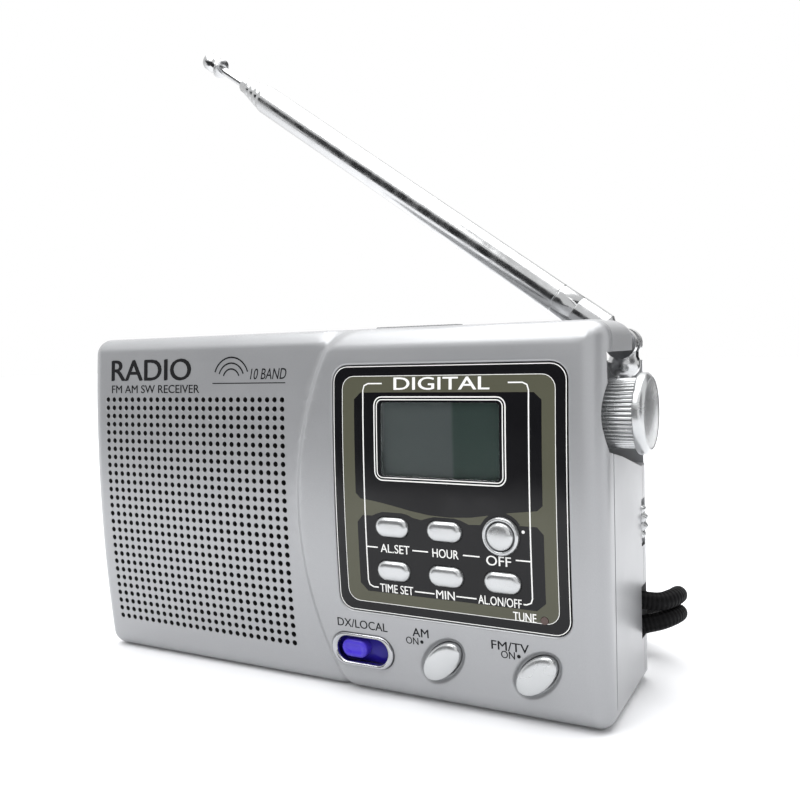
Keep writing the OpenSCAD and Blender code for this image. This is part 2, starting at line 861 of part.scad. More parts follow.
module antenna_tube_1() antenna_section(0);
module antenna_tube_2() antenna_section(1);
module antenna_tube_3() antenna_section(2);
module antenna_tube_4() antenna_section(3);

module antenna_rod() {
    color("lightgray") mast() {
        translate([0, 0, section_start]) cylinder(d = section_d(4), h = section_end(4) - section_start);
        translate([0, 0, section_end(4) - 1]) cylinder(d = 1.9, h = mast_len - tip_len - section_end(4) + 1);
    }
}

module antenna_tip() {
    color("lightgray") mast() translate([0, 0, mast_len - tip_len]) {
        cylinder(d = tip_d + 0.6, h = 0.8);
        translate([0, 0, 0.8]) cylinder(d1 = tip_d - 1.2, d2 = tip_d, h = 1.6);
        translate([0, 0, 2.4]) cylinder(d = tip_d, h = tip_len - 3);
        translate([0, 0, tip_len - 0.6]) cylinder(d1 = tip_d, d2 = tip_d - 1.2, h = 0.6);
    }
}

// ---- strap ---------------------------------------------------------------

module strap_bar() {
    color("silver") rod_y(bar_x, bar_z, bar_r, seam_y - 4.5, seam_y + 4.1);
}

module strap_bight() {
    color([0.1, 0.1, 0.1]) translate([bar_x, seam_y, bar_z]) rotate([90, 0, 0]) {
        difference() {
            rotate_extrude() translate([bight_r, 0]) circle(d = cord_d - 0.1);
            translate([0, -10, -5]) cube([10, 20, 10]);
        }
        for (s = [-1, 1]) translate([0, s * bight_r, 0]) rotate([0, 90, 0])
            cylinder(d = cord_d - 0.1, h = strap_path[0][0] - bar_x);
    }
}

function unit(v) = v / norm(v);
// A point of the smooth curve through the route's points.
function on_curve(p, k, t) =
    let (a = p[max(k - 1, 0)], b = p[k], c = p[k + 1], d = p[min(k + 2, len(p) - 1)])
    0.5 * (2 * b + (c - a) * t + (2 * a - 5 * b + 4 * c - d) * t * t
           + (3 * b - a - 3 * c + d) * t * t * t);
function curve(p, n) = concat([for (k = [0:len(p) - 2], j = [0:n - 1]) on_curve(p, k, j / n)],
                              [p[len(p) - 1]]);
function along(c, i) = unit(c[min(i + 1, len(c) - 1)] - c[max(i - 1, 0)]);
// Carries the cross-section's first axis from ring to ring without twist.
function frames(c, i, u) =
    let (t = along(c, i), v = unit(u - (u * t) * t))
    i == len(c) - 1 ? [v] : concat([v], frames(c, i + 1, v));

module swept_cord(path, r, sides) {
    u = frames(path, 0, [0, 0, 1]);
    points = [for (i = [0:len(path) - 1], s = [0:sides - 1])
        let (a = 360 * s / sides, t = along(path, i))
        path[i] + r * (cos(a) * u[i] + sin(a) * cross(t, u[i]))];
    last = len(path) - 1;
    faces = concat(
        [[for (s = [0:sides - 1]) s]],
        [for (i = [0:last - 1], s = [0:sides - 1])
            let (n = (s + 1) % sides)
            [i * sides + s, (i + 1) * sides + s, (i + 1) * sides + n, i * sides + n]],
        [[for (s = [sides - 1:-1:0]) last * sides + s]]);
    polyhedron(points, faces, convexity = 8);
}

module wrist_strap() {
    color([0.1, 0.1, 0.1]) swept_cord(curve(strap_path, strap_steps), cord_d / 2, strap_sides);
}

// ---- fasteners -----------------------------------------------------------

module screw_along_y(at, head_r, r, y_tip, y_head) {
    difference() {
        union() {
            rod_y(at[0], at[1], r, y_tip, y_head - 1.2);
            rod_y(at[0], at[1], head_r, y_head - 1.4, y_head);
        }
        box([at[0] - 1.6, y_head - 0.7, at[1] - 0.3], [at[0] + 1.6, y_head + 1, at[1] + 0.3]);
        box([at[0] - 0.3, y_head - 0.7, at[1] - 1.6], [at[0] + 0.3, y_head + 1, at[1] + 1.6]);
    }
}

module case_screws() {
    color("dimgray") for (s = screw_at) screw_along_y(s, 2.4, 1.1, seam_y - 8, back_y - 1.1);
}

module board_screws() {
    color("dimgray") for (s = board_screw_at)
        screw_along_y(s, 2.2, 1.1, board_y - 3, board_y + board_t + 1.4);
}

front_shell();
speaker_grille();
rear_shell();
battery_door();
display_panel();
lcd_window();
lcd_glass();
lcd_holder();
clock_board();
clock_switches();
alarm_set_button();
hour_button();
off_button();
time_set_button();
minute_button();
alarm_button();
off_button_ring();
tune_led();
am_button();
fm_button();
power_switches();
range_bezel();
range_knob();
range_switch();
tuning_knob();
tuning_shaft();
tuning_capacitor();
volume_wheel();
volume_pot();
band_knob();
band_switch();
main_board();
if_cans();
electrolytics();
audio_chip();
ferrite_rod();
ferrite_coil();
speaker_frame();
speaker_cone();
speaker_magnet();
upper_cell();
lower_cell();
cell_contacts();
earphone_jack();
power_jack();
antenna_bracket();
antenna_swivel();
antenna_pin();
antenna_knuckle();
antenna_tube_1();
antenna_tube_2();
antenna_tube_3();
antenna_tube_4();
antenna_rod();
antenna_tip();
strap_bar();
strap_bight();
wrist_strap();
case_screws();
board_screws();
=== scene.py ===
"""The portable receiver's looks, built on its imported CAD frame."""
import json
import math

import bmesh
import bpy
from mathutils import Matrix, Vector
from mathutils.geometry import delaunay_2d_cdt


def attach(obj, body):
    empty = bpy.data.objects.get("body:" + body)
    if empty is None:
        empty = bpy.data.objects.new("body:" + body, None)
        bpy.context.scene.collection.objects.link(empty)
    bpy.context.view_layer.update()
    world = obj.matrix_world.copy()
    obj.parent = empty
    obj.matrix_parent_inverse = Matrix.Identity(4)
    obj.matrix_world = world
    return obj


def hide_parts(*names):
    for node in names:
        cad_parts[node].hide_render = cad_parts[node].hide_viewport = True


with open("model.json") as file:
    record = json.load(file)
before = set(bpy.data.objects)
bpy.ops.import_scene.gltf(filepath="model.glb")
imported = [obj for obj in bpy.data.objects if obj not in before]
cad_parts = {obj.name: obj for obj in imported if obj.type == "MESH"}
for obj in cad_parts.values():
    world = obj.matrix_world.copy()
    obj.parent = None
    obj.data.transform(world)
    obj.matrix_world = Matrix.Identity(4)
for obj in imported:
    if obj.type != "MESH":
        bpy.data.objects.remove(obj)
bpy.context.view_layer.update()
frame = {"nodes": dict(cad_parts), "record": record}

MM = 0.001
scene = bpy.context.scene

# ---- camera --------------------------------------------------------------

CAM_AT = (0.10317, -0.16754, 0.07278)
CAM_RIGHT = (0.88260, 0.46913, -0.03067)
CAM_DOWN = (0.00164, -0.06831, -0.99766)
CAM_AHEAD = (-0.47012, 0.88049, -0.06106)

camera_data = bpy.data.cameras.new("camera")
camera_data.lens = 38.475
camera_data.sensor_width = 36
camera_data.sensor_fit = "HORIZONTAL"
camera_data.clip_start = 0.01
camera = bpy.data.objects.new("camera", camera_data)
scene.collection.objects.link(camera)
camera.matrix_world = Matrix((
    (CAM_RIGHT[0], -CAM_DOWN[0], -CAM_AHEAD[0], CAM_AT[0]),
    (CAM_RIGHT[1], -CAM_DOWN[1], -CAM_AHEAD[1], CAM_AT[1]),
    (CAM_RIGHT[2], -CAM_DOWN[2], -CAM_AHEAD[2], CAM_AT[2]),
    (0, 0, 0, 1)))
scene.camera = camera

# ---- materials -----------------------------------------------------------


class Look:
    """A material's nodes, with short calls for the ones used here."""

    def __init__(self, name, color, rough, metal=0.0, coat=0.0, spec=0.5):
        self.mat = bpy.data.materials.new(name)
        self.mat.use_nodes = True
        self.tree = self.mat.node_tree
        self.bsdf = self.tree.nodes["Principled BSDF"]
        self.set("Base Color", (*color, 1.0))
        self.set("Roughness", rough)
        self.set("Metallic", metal)
        self.set("Coat Weight", coat)
        self.set("Coat Roughness", 0.06)
        self.set("Specular IOR Level", spec)
        self.color = color
        self.rough = rough
        self.mat.diffuse_color = (*color, 1.0)

    def set(self, socket, value):
        self.bsdf.inputs[socket].default_value = value

    def node(self, kind, **settings):
        made = self.tree.nodes.new(kind)
        for key, value in settings.items():
            if key in made.inputs:
                made.inputs[key].default_value = value
            else:
                setattr(made, key, value)
        return made

    def link(self, a, b):
        self.tree.links.new(a, b)

    def noise(self, scale, detail=3.0):
        where = self.node("ShaderNodeTexCoord")
        made = self.node("ShaderNodeTexNoise")
        made.inputs["Scale"].default_value = scale
        made.inputs["Detail"].default_value = detail
        self.link(where.outputs["Object"], made.inputs["Vector"])
        return made.outputs["Fac"]

    def spread(self, source, low, high):
        made = self.node("ShaderNodeMapRange")
        made.inputs["From Min"].default_value = 0.3
        made.inputs["From Max"].default_value = 0.7
        made.inputs["To Min"].default_value = low
        made.inputs["To Max"].default_value = high
        self.link(source, made.inputs["Value"])
        return made.outputs["Result"]

    def vary_color(self, source, amount):
        made = self.node("ShaderNodeMix", data_type="RGBA")
        dark = [c * (1 - amount) for c in self.color]
        light = [min(c * (1 + amount), 1.0) for c in self.color]
        made.inputs[6].default_value = (*dark, 1.0)
        made.inputs[7].default_value = (*light, 1.0)
        self.link(source, made.inputs[0])
        self.link(made.outputs[2], self.bsdf.inputs["Base Color"])

    def vary_rough(self, source, amount):
        self.link(self.spread(source, self.rough - amount, self.rough + amount),
                  self.bsdf.inputs["Roughness"])

    def bump(self, source, distance, strength=1.0, edges=0.0):
        made = self.node("ShaderNodeBump")
        made.inputs["Distance"].default_value = distance
        made.inputs["Strength"].default_value = strength
        self.link(source, made.inputs["Height"])
        if edges:
            soft = self.node("ShaderNodeBevel", samples=4)
            soft.inputs["Radius"].default_value = edges
            self.link(soft.outputs["Normal"], made.inputs["Normal"])
        self.link(made.outputs["Normal"], self.bsdf.inputs["Normal"])


def plain(name, color, rough, metal=0.0, coat=0.0, grain=900.0, depth=0.00002, vary=0.06, edges=0.00015,
          spec=0.5):
    """A moulded, painted or metal finish with fine grain, a little unevenness and soft edges."""
    look = Look(name, color, rough, metal, coat, spec)
    fine = look.noise(grain)
    look.vary_color(look.noise(60.0), vary)
    look.vary_rough(look.noise(140.0), min(0.05, rough * 0.4))
    look.bump(fine, depth, 0.35, edges)
    return look.mat


def silver_paint():
    look = Look("silver_paint", (0.34, 0.345, 0.355), 0.36, 0.45, 0.2)
    look.set("Coat Roughness", 0.18)
    look.vary_color(look.noise(9000.0, 1.0), 0.10)
    look.vary_rough(look.noise(90.0), 0.03)
    look.bump(look.noise(5000.0, 1.0), 0.000012, 0.25, 0.0002)
    return look.mat


def chrome(name, rough, color=(0.78, 0.785, 0.79)):
    look = Look(name, color, rough, 1.0)
    look.vary_rough(look.noise(300.0), rough * 0.5)
    look.bump(look.noise(120.0), 0.00001, 0.15, 0.00012)
    return look.mat


def braid():
    """Crossing strands wound round the cord, from its own around-and-along coordinates."""
    look = Look("strap_braid", (0.004, 0.004, 0.0045), 0.75, spec=0.12)
    where = look.node("ShaderNodeUVMap", uv_map="braid")
    parts = look.node("ShaderNodeSeparateXYZ")
    look.link(where.outputs["UV"], parts.inputs["Vector"])
    waves = []
    for sign in (1.0, -1.0):
        turn = look.node("ShaderNodeMath", operation="MULTIPLY")
        turn.inputs[1].default_value = sign * math.tau * 4
        look.link(parts.outputs["X"], turn.inputs[0])
        pitch = look.node("ShaderNodeMath", operation="MULTIPLY")
        pitch.inputs[1].default_value = math.tau
        look.link(parts.outputs["Y"], pitch.inputs[0])
        both = look.node("ShaderNodeMath", operation="ADD")
        look.link(turn.outputs[0], both.inputs[0])
        look.link(pitch.outputs[0], both.inputs[1])
        wave = look.node("ShaderNodeMath", operation="SINE")
        look.link(both.outputs[0], wave.inputs[0])
        waves.append(wave)
    cross = look.node("ShaderNodeMath", operation="MULTIPLY")
    look.link(waves[0].outputs[0], cross.inputs[0])
    look.link(waves[1].outputs[0], cross.inputs[1])
    height = look.node("ShaderNodeMapRange")
    height.inputs["From Min"].default_value = -1.0
    look.link(cross.outputs[0], height.inputs["Value"])
    look.bump(height.outputs["Result"], 0.00035, 0.9)
    # the strands' colour follows the same height, darker in the hollows between them: painted shade
    look.vary_color(height.outputs["Result"], 0.55)
    return look.mat


def lcd_glass():
    """A grey-green polariser, a little lighter on its left half."""
    look = Look("lcd_glass", (0.10, 0.12, 0.115), 0.16, 0.0, 0.0, 0.2)
    where = look.node("ShaderNodeTexCoord")
    parts = look.node("ShaderNodeSeparateXYZ")
    look.link(where.outputs["Object"], parts.inputs["Vector"])
    side = look.node("ShaderNodeMapRange", interpolation_type="SMOOTHSTEP")
    side.inputs["From Min"].default_value = 0.0335
    side.inputs["From Max"].default_value = 0.0345
    look.link(parts.outputs["X"], side.inputs["Value"])
    tint = look.node("ShaderNodeMix", data_type="RGBA")
    tint.inputs[6].default_value = (0.115, 0.125, 0.127, 1.0)
    tint.inputs[7].default_value = (0.058, 0.080, 0.074, 1.0)
    look.link(side.outputs["Result"], tint.inputs[0])
    look.link(tint.outputs[2], look.bsdf.inputs["Base Color"])
    look.vary_rough(look.noise(30.0), 0.04)
    look.bump(look.noise(4000.0, 1.0), 0.000004, 0.2)
    return look.mat


def window_glass():
    look = Look("window_glass", (0.9, 0.93, 0.92), 0.02)
    look.set("Transmission Weight", 1.0)
    look.set("IOR", 1.3)
    look.set("Specular IOR Level", 0.2)
    look.bump(look.noise(50.0), 0.000006, 0.08)
    return look.mat


MATS = {
    "silver_paint": silver_paint(),
    "panel_print": plain("panel_black", (0.006, 0.006, 0.007), 0.16, grain=40.0, depth=0.000004, vary=0.15,
                         edges=0.0001, spec=0.25),
    "clear_window": window_glass(),
    "lcd": lcd_glass(),
    "white_plastic": plain("white_plastic", (0.72, 0.71, 0.66), 0.45),
    "board_green": plain("board_green", (0.02, 0.10, 0.035), 0.35, 0.0, 0.3),
    "board_brown": plain("board_brown", (0.34, 0.20, 0.07), 0.5),
    "black_plastic": plain("black_plastic", (0.012, 0.012, 0.013), 0.42),
    "silver_button": plain("silver_button", (0.50, 0.51, 0.515), 0.24, 0.8, 0.2, 2500.0, 0.000006, 0.04,
                           0.00012),
    "red_lens": plain("red_lens", (0.05, 0.022, 0.016), 0.12, 0.0, 0.3),
    "bezel_chrome": chrome("bezel_chrome", 0.2, (0.42, 0.425, 0.44)),
    "blue_plastic": plain("blue_plastic", (0.016, 0.008, 0.26), 0.3, coat=0.1, depth=0.00001, vary=0.08,
                          spec=0.25),
    "plated_steel": plain("plated_steel", (0.55, 0.55, 0.56), 0.3, 1.0, 0.0, 600.0, 0.00001, 0.05),
    "grey_plastic": plain("grey_plastic", (0.16, 0.165, 0.17), 0.45),
    "capacitor_sleeve": plain("capacitor_sleeve", (0.015, 0.02, 0.07), 0.25, 0.0, 0.3),
    "ferrite": plain("ferrite", (0.03, 0.03, 0.032), 0.6),
    "coil_copper": plain("coil_copper", (0.45, 0.16, 0.06), 0.3, 0.8),
    "paper_cone": plain("paper_cone", (0.012, 0.011, 0.011), 0.85, 0.0, 0.0, 500.0, 0.0001),
    "cell_sleeve": plain("cell_sleeve", (0.02, 0.13, 0.06), 0.25, 0.1, 0.5),
    "antenna_chrome": chrome("antenna_chrome", 0.2, (0.50, 0.505, 0.51)),
    "strap_braid": braid(),
}
OLIVE = plain("panel_olive", (0.080, 0.080, 0.056), 0.2, 0.0, 0.0, 40.0, 0.000004, 0.08, 0.0001, 0.25)
# White for the panel's print, and for the painted highlight along its edge.
WHITE_PRINT_AND_HIGHLIGHT = plain("white_print_and_highlight", (0.82, 0.82, 0.80), 0.4, 0.0, 0.0, 900.0, 0.000004, 0.03)
DARK_INK = plain("dark_ink", (0.008, 0.008, 0.009), 0.5, 0.0, 0.0, 900.0, 0.000004, 0.03, 0.00015, 0.15)
# Near-black matte for the sheet behind the grille and the walls of its holes: painted shade.
HOLE_SHADE = plain("grille_hole_shade", (0.006, 0.006, 0.006), 0.9, 0.0, 0.0, 1500.0, 0.0001)
# A lighter copy of the slider's blue for its forward grip: painted light, the recessed plate keeping the
# plain blue.
BLUE_GRIP_PAINTED_LIGHTER = plain("blue_grip_painted_lighter", (0.055, 0.032, 0.50), 0.3, 0.0, 0.1, 900.0, 0.00001, 0.06, 0.00015, 0.3)
CARD_MAT = plain("dark_card", (0.03, 0.03, 0.032), 0.8, 0.0, 0.0, 60.0, 0.00005, 0.02, 0.0)


def floor_paper():
    """White paper with a painted glow: weak near the radio, which leaves painted shade there, and stronger
    away from it, so that it meets the background unseen.
    """
    look = Look("floor_paper", (0.78, 0.785, 0.80), 0.7)
    look.vary_rough(look.noise(60.0), 0.03)
    where = look.node("ShaderNodeTexCoord")
    far = look.node("ShaderNodeVectorMath", operation="LENGTH")
    look.link(where.outputs["Object"], far.inputs[0])
    glow = look.node("ShaderNodeMapRange", interpolation_type="SMOOTHSTEP")
    for name, value in (("From Min", 0.10), ("From Max", 0.30), ("To Min", 0.03), ("To Max", 0.35)):
        glow.inputs[name].default_value = value
    look.link(far.outputs["Value"], glow.inputs["Value"])
    look.set("Emission Color", (1, 1, 1, 1))
    look.link(glow.outputs["Result"], look.bsdf.inputs["Emission Strength"])
    return look.mat


FLOOR_MAT = floor_paper()

# ---- mesh helpers --------------------------------------------------------


def make(name, bm, mats, body, sharp=35.0, replaced=()):
    """Turns a bmesh in millimetres into a piece in metres that rides on a CAD body."""
    bmesh.ops.remove_doubles(bm, verts=bm.verts, dist=0.0008)
    for face in bm.faces:
        face.smooth = True
    limit = math.radians(sharp)
    for edge in bm.edges:
        if len(edge.link_faces) == 2 and edge.calc_face_angle(0.0) > limit:
            edge.smooth = False
    bmesh.ops.scale(bm, vec=(MM, MM, MM), verts=bm.verts)
    mesh = bpy.data.meshes.new(name)
    bm.to_mesh(mesh)
    bm.free()
    for mat in mats:
        mesh.materials.append(mat)
    obj = bpy.data.objects.new(name, mesh)
    scene.collection.objects.link(obj)
    if replaced:
        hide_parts(*replaced)
    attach(obj, body)


def closed(name, bm, body, slot, sharp, *replaced, second=None):
    """make() for a closed shape in its slot's material, after turning every face outwards."""
    bmesh.ops.recalc_face_normals(bm, faces=bm.faces)
    make(name, bm, [MATS[slot]] + ([second] if second else []), body, sharp, replaced)


def add_loop(bm, points):
    return [bm.verts.new(p) for p in points]


def add_band(bm, low, high, mat=0):
    """Quads between two rings with the same number of points."""
    n = len(low)
    for i in range(n):
        j = (i + 1) % n
        bm.faces.new((low[i], low[j], high[j], high[i])).material_index = mat


def add_cap(bm, ring, mat=0):
    bm.faces.new(ring).material_index = mat


def rings(bm, loops, mat=0, close_first=False, close_last=True):
    """Joins successive rings of points with quads, and caps the ends."""
    made = [add_loop(bm, loop) for loop in loops]
    for a, b in zip(made, made[1:]):
        add_band(bm, a, b, mat)
    if close_first:
        add_cap(bm, list(reversed(made[0])), mat)
    if close_last:
        add_cap(bm, made[-1], mat)


def rounded_rect(cx, cz, w, h, r, steps=6):
    """Points of a rounded rectangle, counter-clockwise seen from the front."""
    points = []
    for sx, sz, start in ((1, 1, 0), (-1, 1, 90), (-1, -1, 180), (1, -1, 270)):
        x, z = cx + sx * (w / 2 - r), cz + sz * (h / 2 - r)
        for k in range(steps + 1):
            a = math.radians(start + 90 * k / steps)
            points.append((x + r * math.cos(a), z + r * math.sin(a)))
    return points


def stadium(cx, cz, w, h, steps=12):
    """Points of a bar with round ends, w long and h wide."""
    points = []
    for side, start in ((1, -90), (-1, 90)):
        for k in range(steps + 1):
            a = math.radians(start + 180 * k / steps)
            points.append((cx + side * (w - h) / 2 + h / 2 * math.cos(a), cz + h / 2 * math.sin(a)))
    return points


def circle(cx, cz, r, steps=32):
    return [(cx + r * math.cos(math.tau * k / steps), cz + r * math.sin(math.tau * k / steps))
            for k in range(steps)]


def arc(cx, cz, r, degrees):
    return [(cx + r * math.cos(math.radians(a)), cz + r * math.sin(math.radians(a))) for a in degrees]


def spaced(loop, gap):
    """The same closed outline with extra points so that none are further apart than gap."""
    out = []
    for (x0, z0), (x1, z1) in zip(loop, loop[1:] + loop[:1]):
        n = max(1, math.ceil(math.hypot(x1 - x0, z1 - z0) / gap))
        out += [(x0 + (x1 - x0) * k / n, z0 + (z1 - z0) * k / n) for k in range(n)]
    return out


def within(x, z, loop):
    """Whether a point lies inside a closed outline."""
    inside = False
    for (x0, z0), (x1, z1) in zip(loop, loop[1:] + loop[:1]):
        if (z0 > z) != (z1 > z) and x < (x1 - x0) * (z - z0) / (z1 - z0) + x0:
            inside = not inside
    return inside


def triangulate(bm, loops, points, keep, lift, index=None):
    """Fills a flat region in x and z, bounded by keep, and lifts each point to its height along y."""
    flat, edges = [], []
    for loop in loops:
        first = len(flat)
        flat += loop
        edges += [(first + i, first + (i + 1) % len(loop)) for i in range(len(loop))]
    flat += points
    found, _, tris, _, _, _ = delaunay_2d_cdt([Vector(p) for p in flat], edges, [], 0, 1e-5)
    verts = [bm.verts.new((p.x, lift(p.x, p.y), p.y)) for p in found]
    for tri in tris:
        x = sum(found[i].x for i in tri) / 3
        z = sum(found[i].y for i in tri) / 3
        if keep(x, z):
            face = bm.faces.new([verts[i] for i in tri])
            face.normal_update()
            if face.normal.y > 0:
                face.normal_flip()
            if index:
                face.material_index = index(x, z)
    bmesh.ops.delete(bm, geom=[v for v in bm.verts if not v.link_faces], context="VERTS")


def profile(value, steps):
    """Depth for a distance from an outline, from (distance, depth) steps that run inwards."""
    if value >= steps[0][0]:
        return steps[0][1]
    for (d0, y0), (d1, y1) in zip(steps, steps[1:]):
        if value >= d1:
            return y0 + (y1 - y0) * (d0 - value) / (d0 - d1)
    return steps[-1][1]


# ---- the case's surfaces (millimetres) -----------------------------------

HALF_W = 64.0
CASE_H = 77.0
FRONT_Y = -18.5
INNER_Y = -15.1
SEAM_Y = 12.2
STEP = 1.2
EDGE_R = 4.5
CORNER_R = 3.5


def sag(z):
    """How far the bowed front falls back at height z."""
    return 330.0 - math.sqrt(330.0 ** 2 - (z - 43.0) ** 2)


def raised(x, z):
    """1 on the raised right part, 0 on the grille side, smooth between."""
    side = 83.5 - math.hypot(x - 80.3, z - 39.0)
    top = 79.0 - z
    r = 8.0
    s = r - math.hypot(r - side, r - top) if side < r and top < r else min(side, top)
    t = min(max(s / 2.0, 0.0), 1.0)
    return t * t * (3 - 2 * t)


def base_y(x, z):
    return FRONT_Y + sag(z) + STEP * (1 - raised(x, z))


PANEL_C = (32.4, 44.0)
PANEL_W, PANEL_H, PANEL_R = 50.0, 51.0, 3.3
OLIVE_BAND = (*PANEL_C, 45.4, 46.6, 2.6)
WINDOW_C = (31.4, 54.6)
PILL_X = (20.8, 32.4, 44.2)
PILL_Z = (36.8, 27.8)
PILL_W, PILL_H, OFF_R = 7.4, 4.0, 2.7
KEY_RIM = 0.8                # how far a key's flange needs flat wall past its cap
AM_C, FM_C = (30.5, 10.2), (50.2, 10.3)
RANGE_C = (12.0, 9.8)
KNOB_Y, KNOB_Z, BAY_R = -5, 59.2, 11.3
WHEEL_X, WHEEL_Z = 56, 35
OVAL_A, OVAL_B = 5.0, 2.9    # half length and half width of a power button
OVAL_HALF = math.hypot(OVAL_A + 0.7, OVAL_B + 0.7) * math.sqrt(0.5)
PANEL_Y = FRONT_Y + 0.2


BEZEL_RUN, BEZEL_R = 3.9, 3.55


def bar_distance(x, z, c, run, r):
    """Distance outside a level round-ended bar, negative inside."""
    return math.hypot(max(abs(x - c[0]) - run, 0.0), z - c[1]) - r


def box_distance(x, z, c, w, h, r):
    """Distance outside a rounded rectangle, negative inside."""
    u = abs(x - c[0]) - (w / 2 - r)
    v = abs(z - c[1]) - (h / 2 - r)
    return math.hypot(max(u, 0.0), max(v, 0.0)) + min(max(u, v), 0.0) - r


PANEL_EDGE = ((0.40, 0.0), (0.22, 0.04), (0.08, 0.15), (0.0, 0.4), (-0.04, 1.7))
BEZEL_EDGE = ((0.30, 0.0), (0.15, 0.04), (0.0, 0.25), (-0.04, 1.6))
DISH_EDGE = ((0.45, 0.0), (0.2, 0.06), (-0.05, 0.3), (-0.3, 0.62), (-0.5, 0.72))
HOLE_EDGE = ((0.03, 0.0), (-0.02, 0.06), (-0.05, 1.6))


def dish_outline(c, grow):
    """A power button's oval, grown all round."""
    points = []
    for k in range(48):
        u, v = (OVAL_A + grow) * math.cos(math.tau * k / 48), (OVAL_B + grow) * math.sin(math.tau * k / 48)
        points.append((c[0] + (u - v) * math.sqrt(0.5), c[1] + (u + v) * math.sqrt(0.5)))
    return points


def dish_grow(x, z, c):
    """How much the oval outline has to grow to reach a point."""
    u, v = (x - c[0] + z - c[1]) * math.sqrt(0.5), (z - c[1] - x + c[0]) * math.sqrt(0.5)
    low, high = 0.02 - OVAL_B, 3.0
    for _ in range(24 if math.hypot(u, v) < OVAL_A + high else 0):
        mid = (low + high) / 2
        inside = (u / (OVAL_A + mid)) ** 2 + (v / (OVAL_B + mid)) ** 2 < 1
        low, high = (low, mid) if inside else (mid, high)
    return high


def flange_y(z, half):
    """Where the flange of a key lies against the back of the front wall."""
    return INNER_Y + max(sag(z - half), sag(z + half)) + 0.1


def front_depth(x, z):
    deep = profile(box_distance(x, z, PANEL_C, PANEL_W + 0.2, PANEL_H + 0.2, PANEL_R + 0.1), PANEL_EDGE)
    deep += profile(bar_distance(x, z, RANGE_C, BEZEL_RUN, BEZEL_R), BEZEL_EDGE)
    for c in (AM_C, FM_C):
        deep += profile(dish_grow(x, z, c) - 0.8, DISH_EDGE) + profile(dish_grow(x, z, c) - 0.15, HOLE_EDGE)
    return deep


def front_y(x, z):
    return base_y(x, z) + front_depth(x, z)


# ---- front case: one perforated front, round edges and open bays ---------

HOLE_X, HOLE_Z, PITCH, COLS, ROWS = -58.3, 8.4, 2.0, 27, 28
HOLE_R = 0.6
GRILLE = (HOLE_X - 1, HOLE_Z - 1, HOLE_X + COLS * PITCH - 1, HOLE_Z + ROWS * PITCH - 1)


def outline_samples():
    """The case's outline as (x, z, normal x, normal z, corner centre or None)."""
    straight_x, straight_z = HALF_W - CORNER_R, CASE_H / 2 - CORNER_R
    xs = [-straight_x + 2.42 * k for k in range(1, 50)]
    xs += [4 + 0.4 * k for k in range(1, 18)]
    xs = sorted({round(x, 3) for x in xs if -straight_x < x < straight_x})
    zs = [CASE_H / 2 - straight_z + 2.5 * k for k in range(1, 28)]
    out = []
    corners = (((1, -1), 270), ((1, 1), 0), ((-1, 1), 90), ((-1, -1), 180))
    edges = ([(HALF_W, z, 1, 0) for z in zs], [(x, CASE_H, 0, 1) for x in reversed(xs)],
             [(-HALF_W, z, -1, 0) for z in reversed(zs)], [(x, 0.0, 0, -1) for x in xs])
    for ((sx, sz), start), edge in zip(corners, edges):
        cx, cz = sx * straight_x, CASE_H / 2 + sz * straight_z
        for k in range(9):
            a = math.radians(start + 90 * k / 8)
            out.append((cx, cz, math.cos(a), math.sin(a), (sx, sz)))
        out += [(x, z, nx, nz, None) for x, z, nx, nz in edge]
    return out


def inset(sample, d):
    """A point of the case's outline moved in by d, square into the corners past their radius."""
    x, z, nx, nz, corner = sample
    if corner:
        if d < CORNER_R:
            return x + nx * (CORNER_R - d), z + nz * (CORNER_R - d)
        return x - corner[0] * (d - CORNER_R), z - corner[1] * (d - CORNER_R)
    wide, high = HALF_W - max(d, CORNER_R), CASE_H / 2 - max(d, CORNER_R)
    x, z = x - nx * d, z - nz * d
    if nx:
        return x, min(max(z, CASE_H / 2 - high), CASE_H / 2 + high)
    return min(max(x, -wide), wide), z


def fillet_point(sample, turn):
    """A point of the front edge's rounding: turn 0 is on the side, 90 on the face."""
    x, z = inset(sample, EDGE_R)
    r = EDGE_R - STEP * (1 - raised(x, z))
    a = math.radians(turn)
    x, z = inset(sample, r * (1 - math.cos(a)))
    return x, base_y(x, z) + r * (1 - math.sin(a)), z


def cut(target, bm_cutter):
    """Takes a closed shape out of the target mesh object."""
    mesh = bpy.data.meshes.new("cutter")
    bmesh.ops.recalc_face_normals(bm_cutter, faces=bm_cutter.faces)
    bm_cutter.to_mesh(mesh)
    bm_cutter.free()
    tool = bpy.data.objects.new("cutter", mesh)
    scene.collection.objects.link(tool)
    mod = target.modifiers.new("cut", "BOOLEAN")
    mod.operation = "DIFFERENCE"
    mod.solver = "EXACT"
    mod.object = tool
    bpy.context.view_layer.update()
    done = bpy.data.meshes.new_from_object(target.evaluated_get(bpy.context.evaluated_depsgraph_get()))
    target.modifiers.clear()
    target.data = done
    bpy.data.objects.remove(tool)


def box_shape(low, high):
    bm = bmesh.new()
    corners = [[(low, high)[b >> k & 1][k] for k in range(3)] for b in range(8)]
    v = [bm.verts.new(c) for c in corners]
    for quad in ((0, 1, 3, 2), (4, 6, 7, 5), (0, 4, 5, 1), (2, 3, 7, 6), (0, 2, 6, 4), (1, 5, 7, 3)):
        bm.faces.new([v[i] for i in quad])
    return bm


def prism_shape(points, low, high, axis):
    """A closed prism along x (points are y, z), y (points are x, z) or z (points are x, y)."""
    bm = bmesh.new()
    place = {"x": lambda p, t: (t, p[0], p[1]), "y": lambda p, t: (p[0], t, p[1]),
             "z": lambda p, t: (p[0], p[1], t)}[axis]
    rings(bm, [[place(p, low) for p in points], [place(p, high) for p in points]], close_first=True)
    return bm


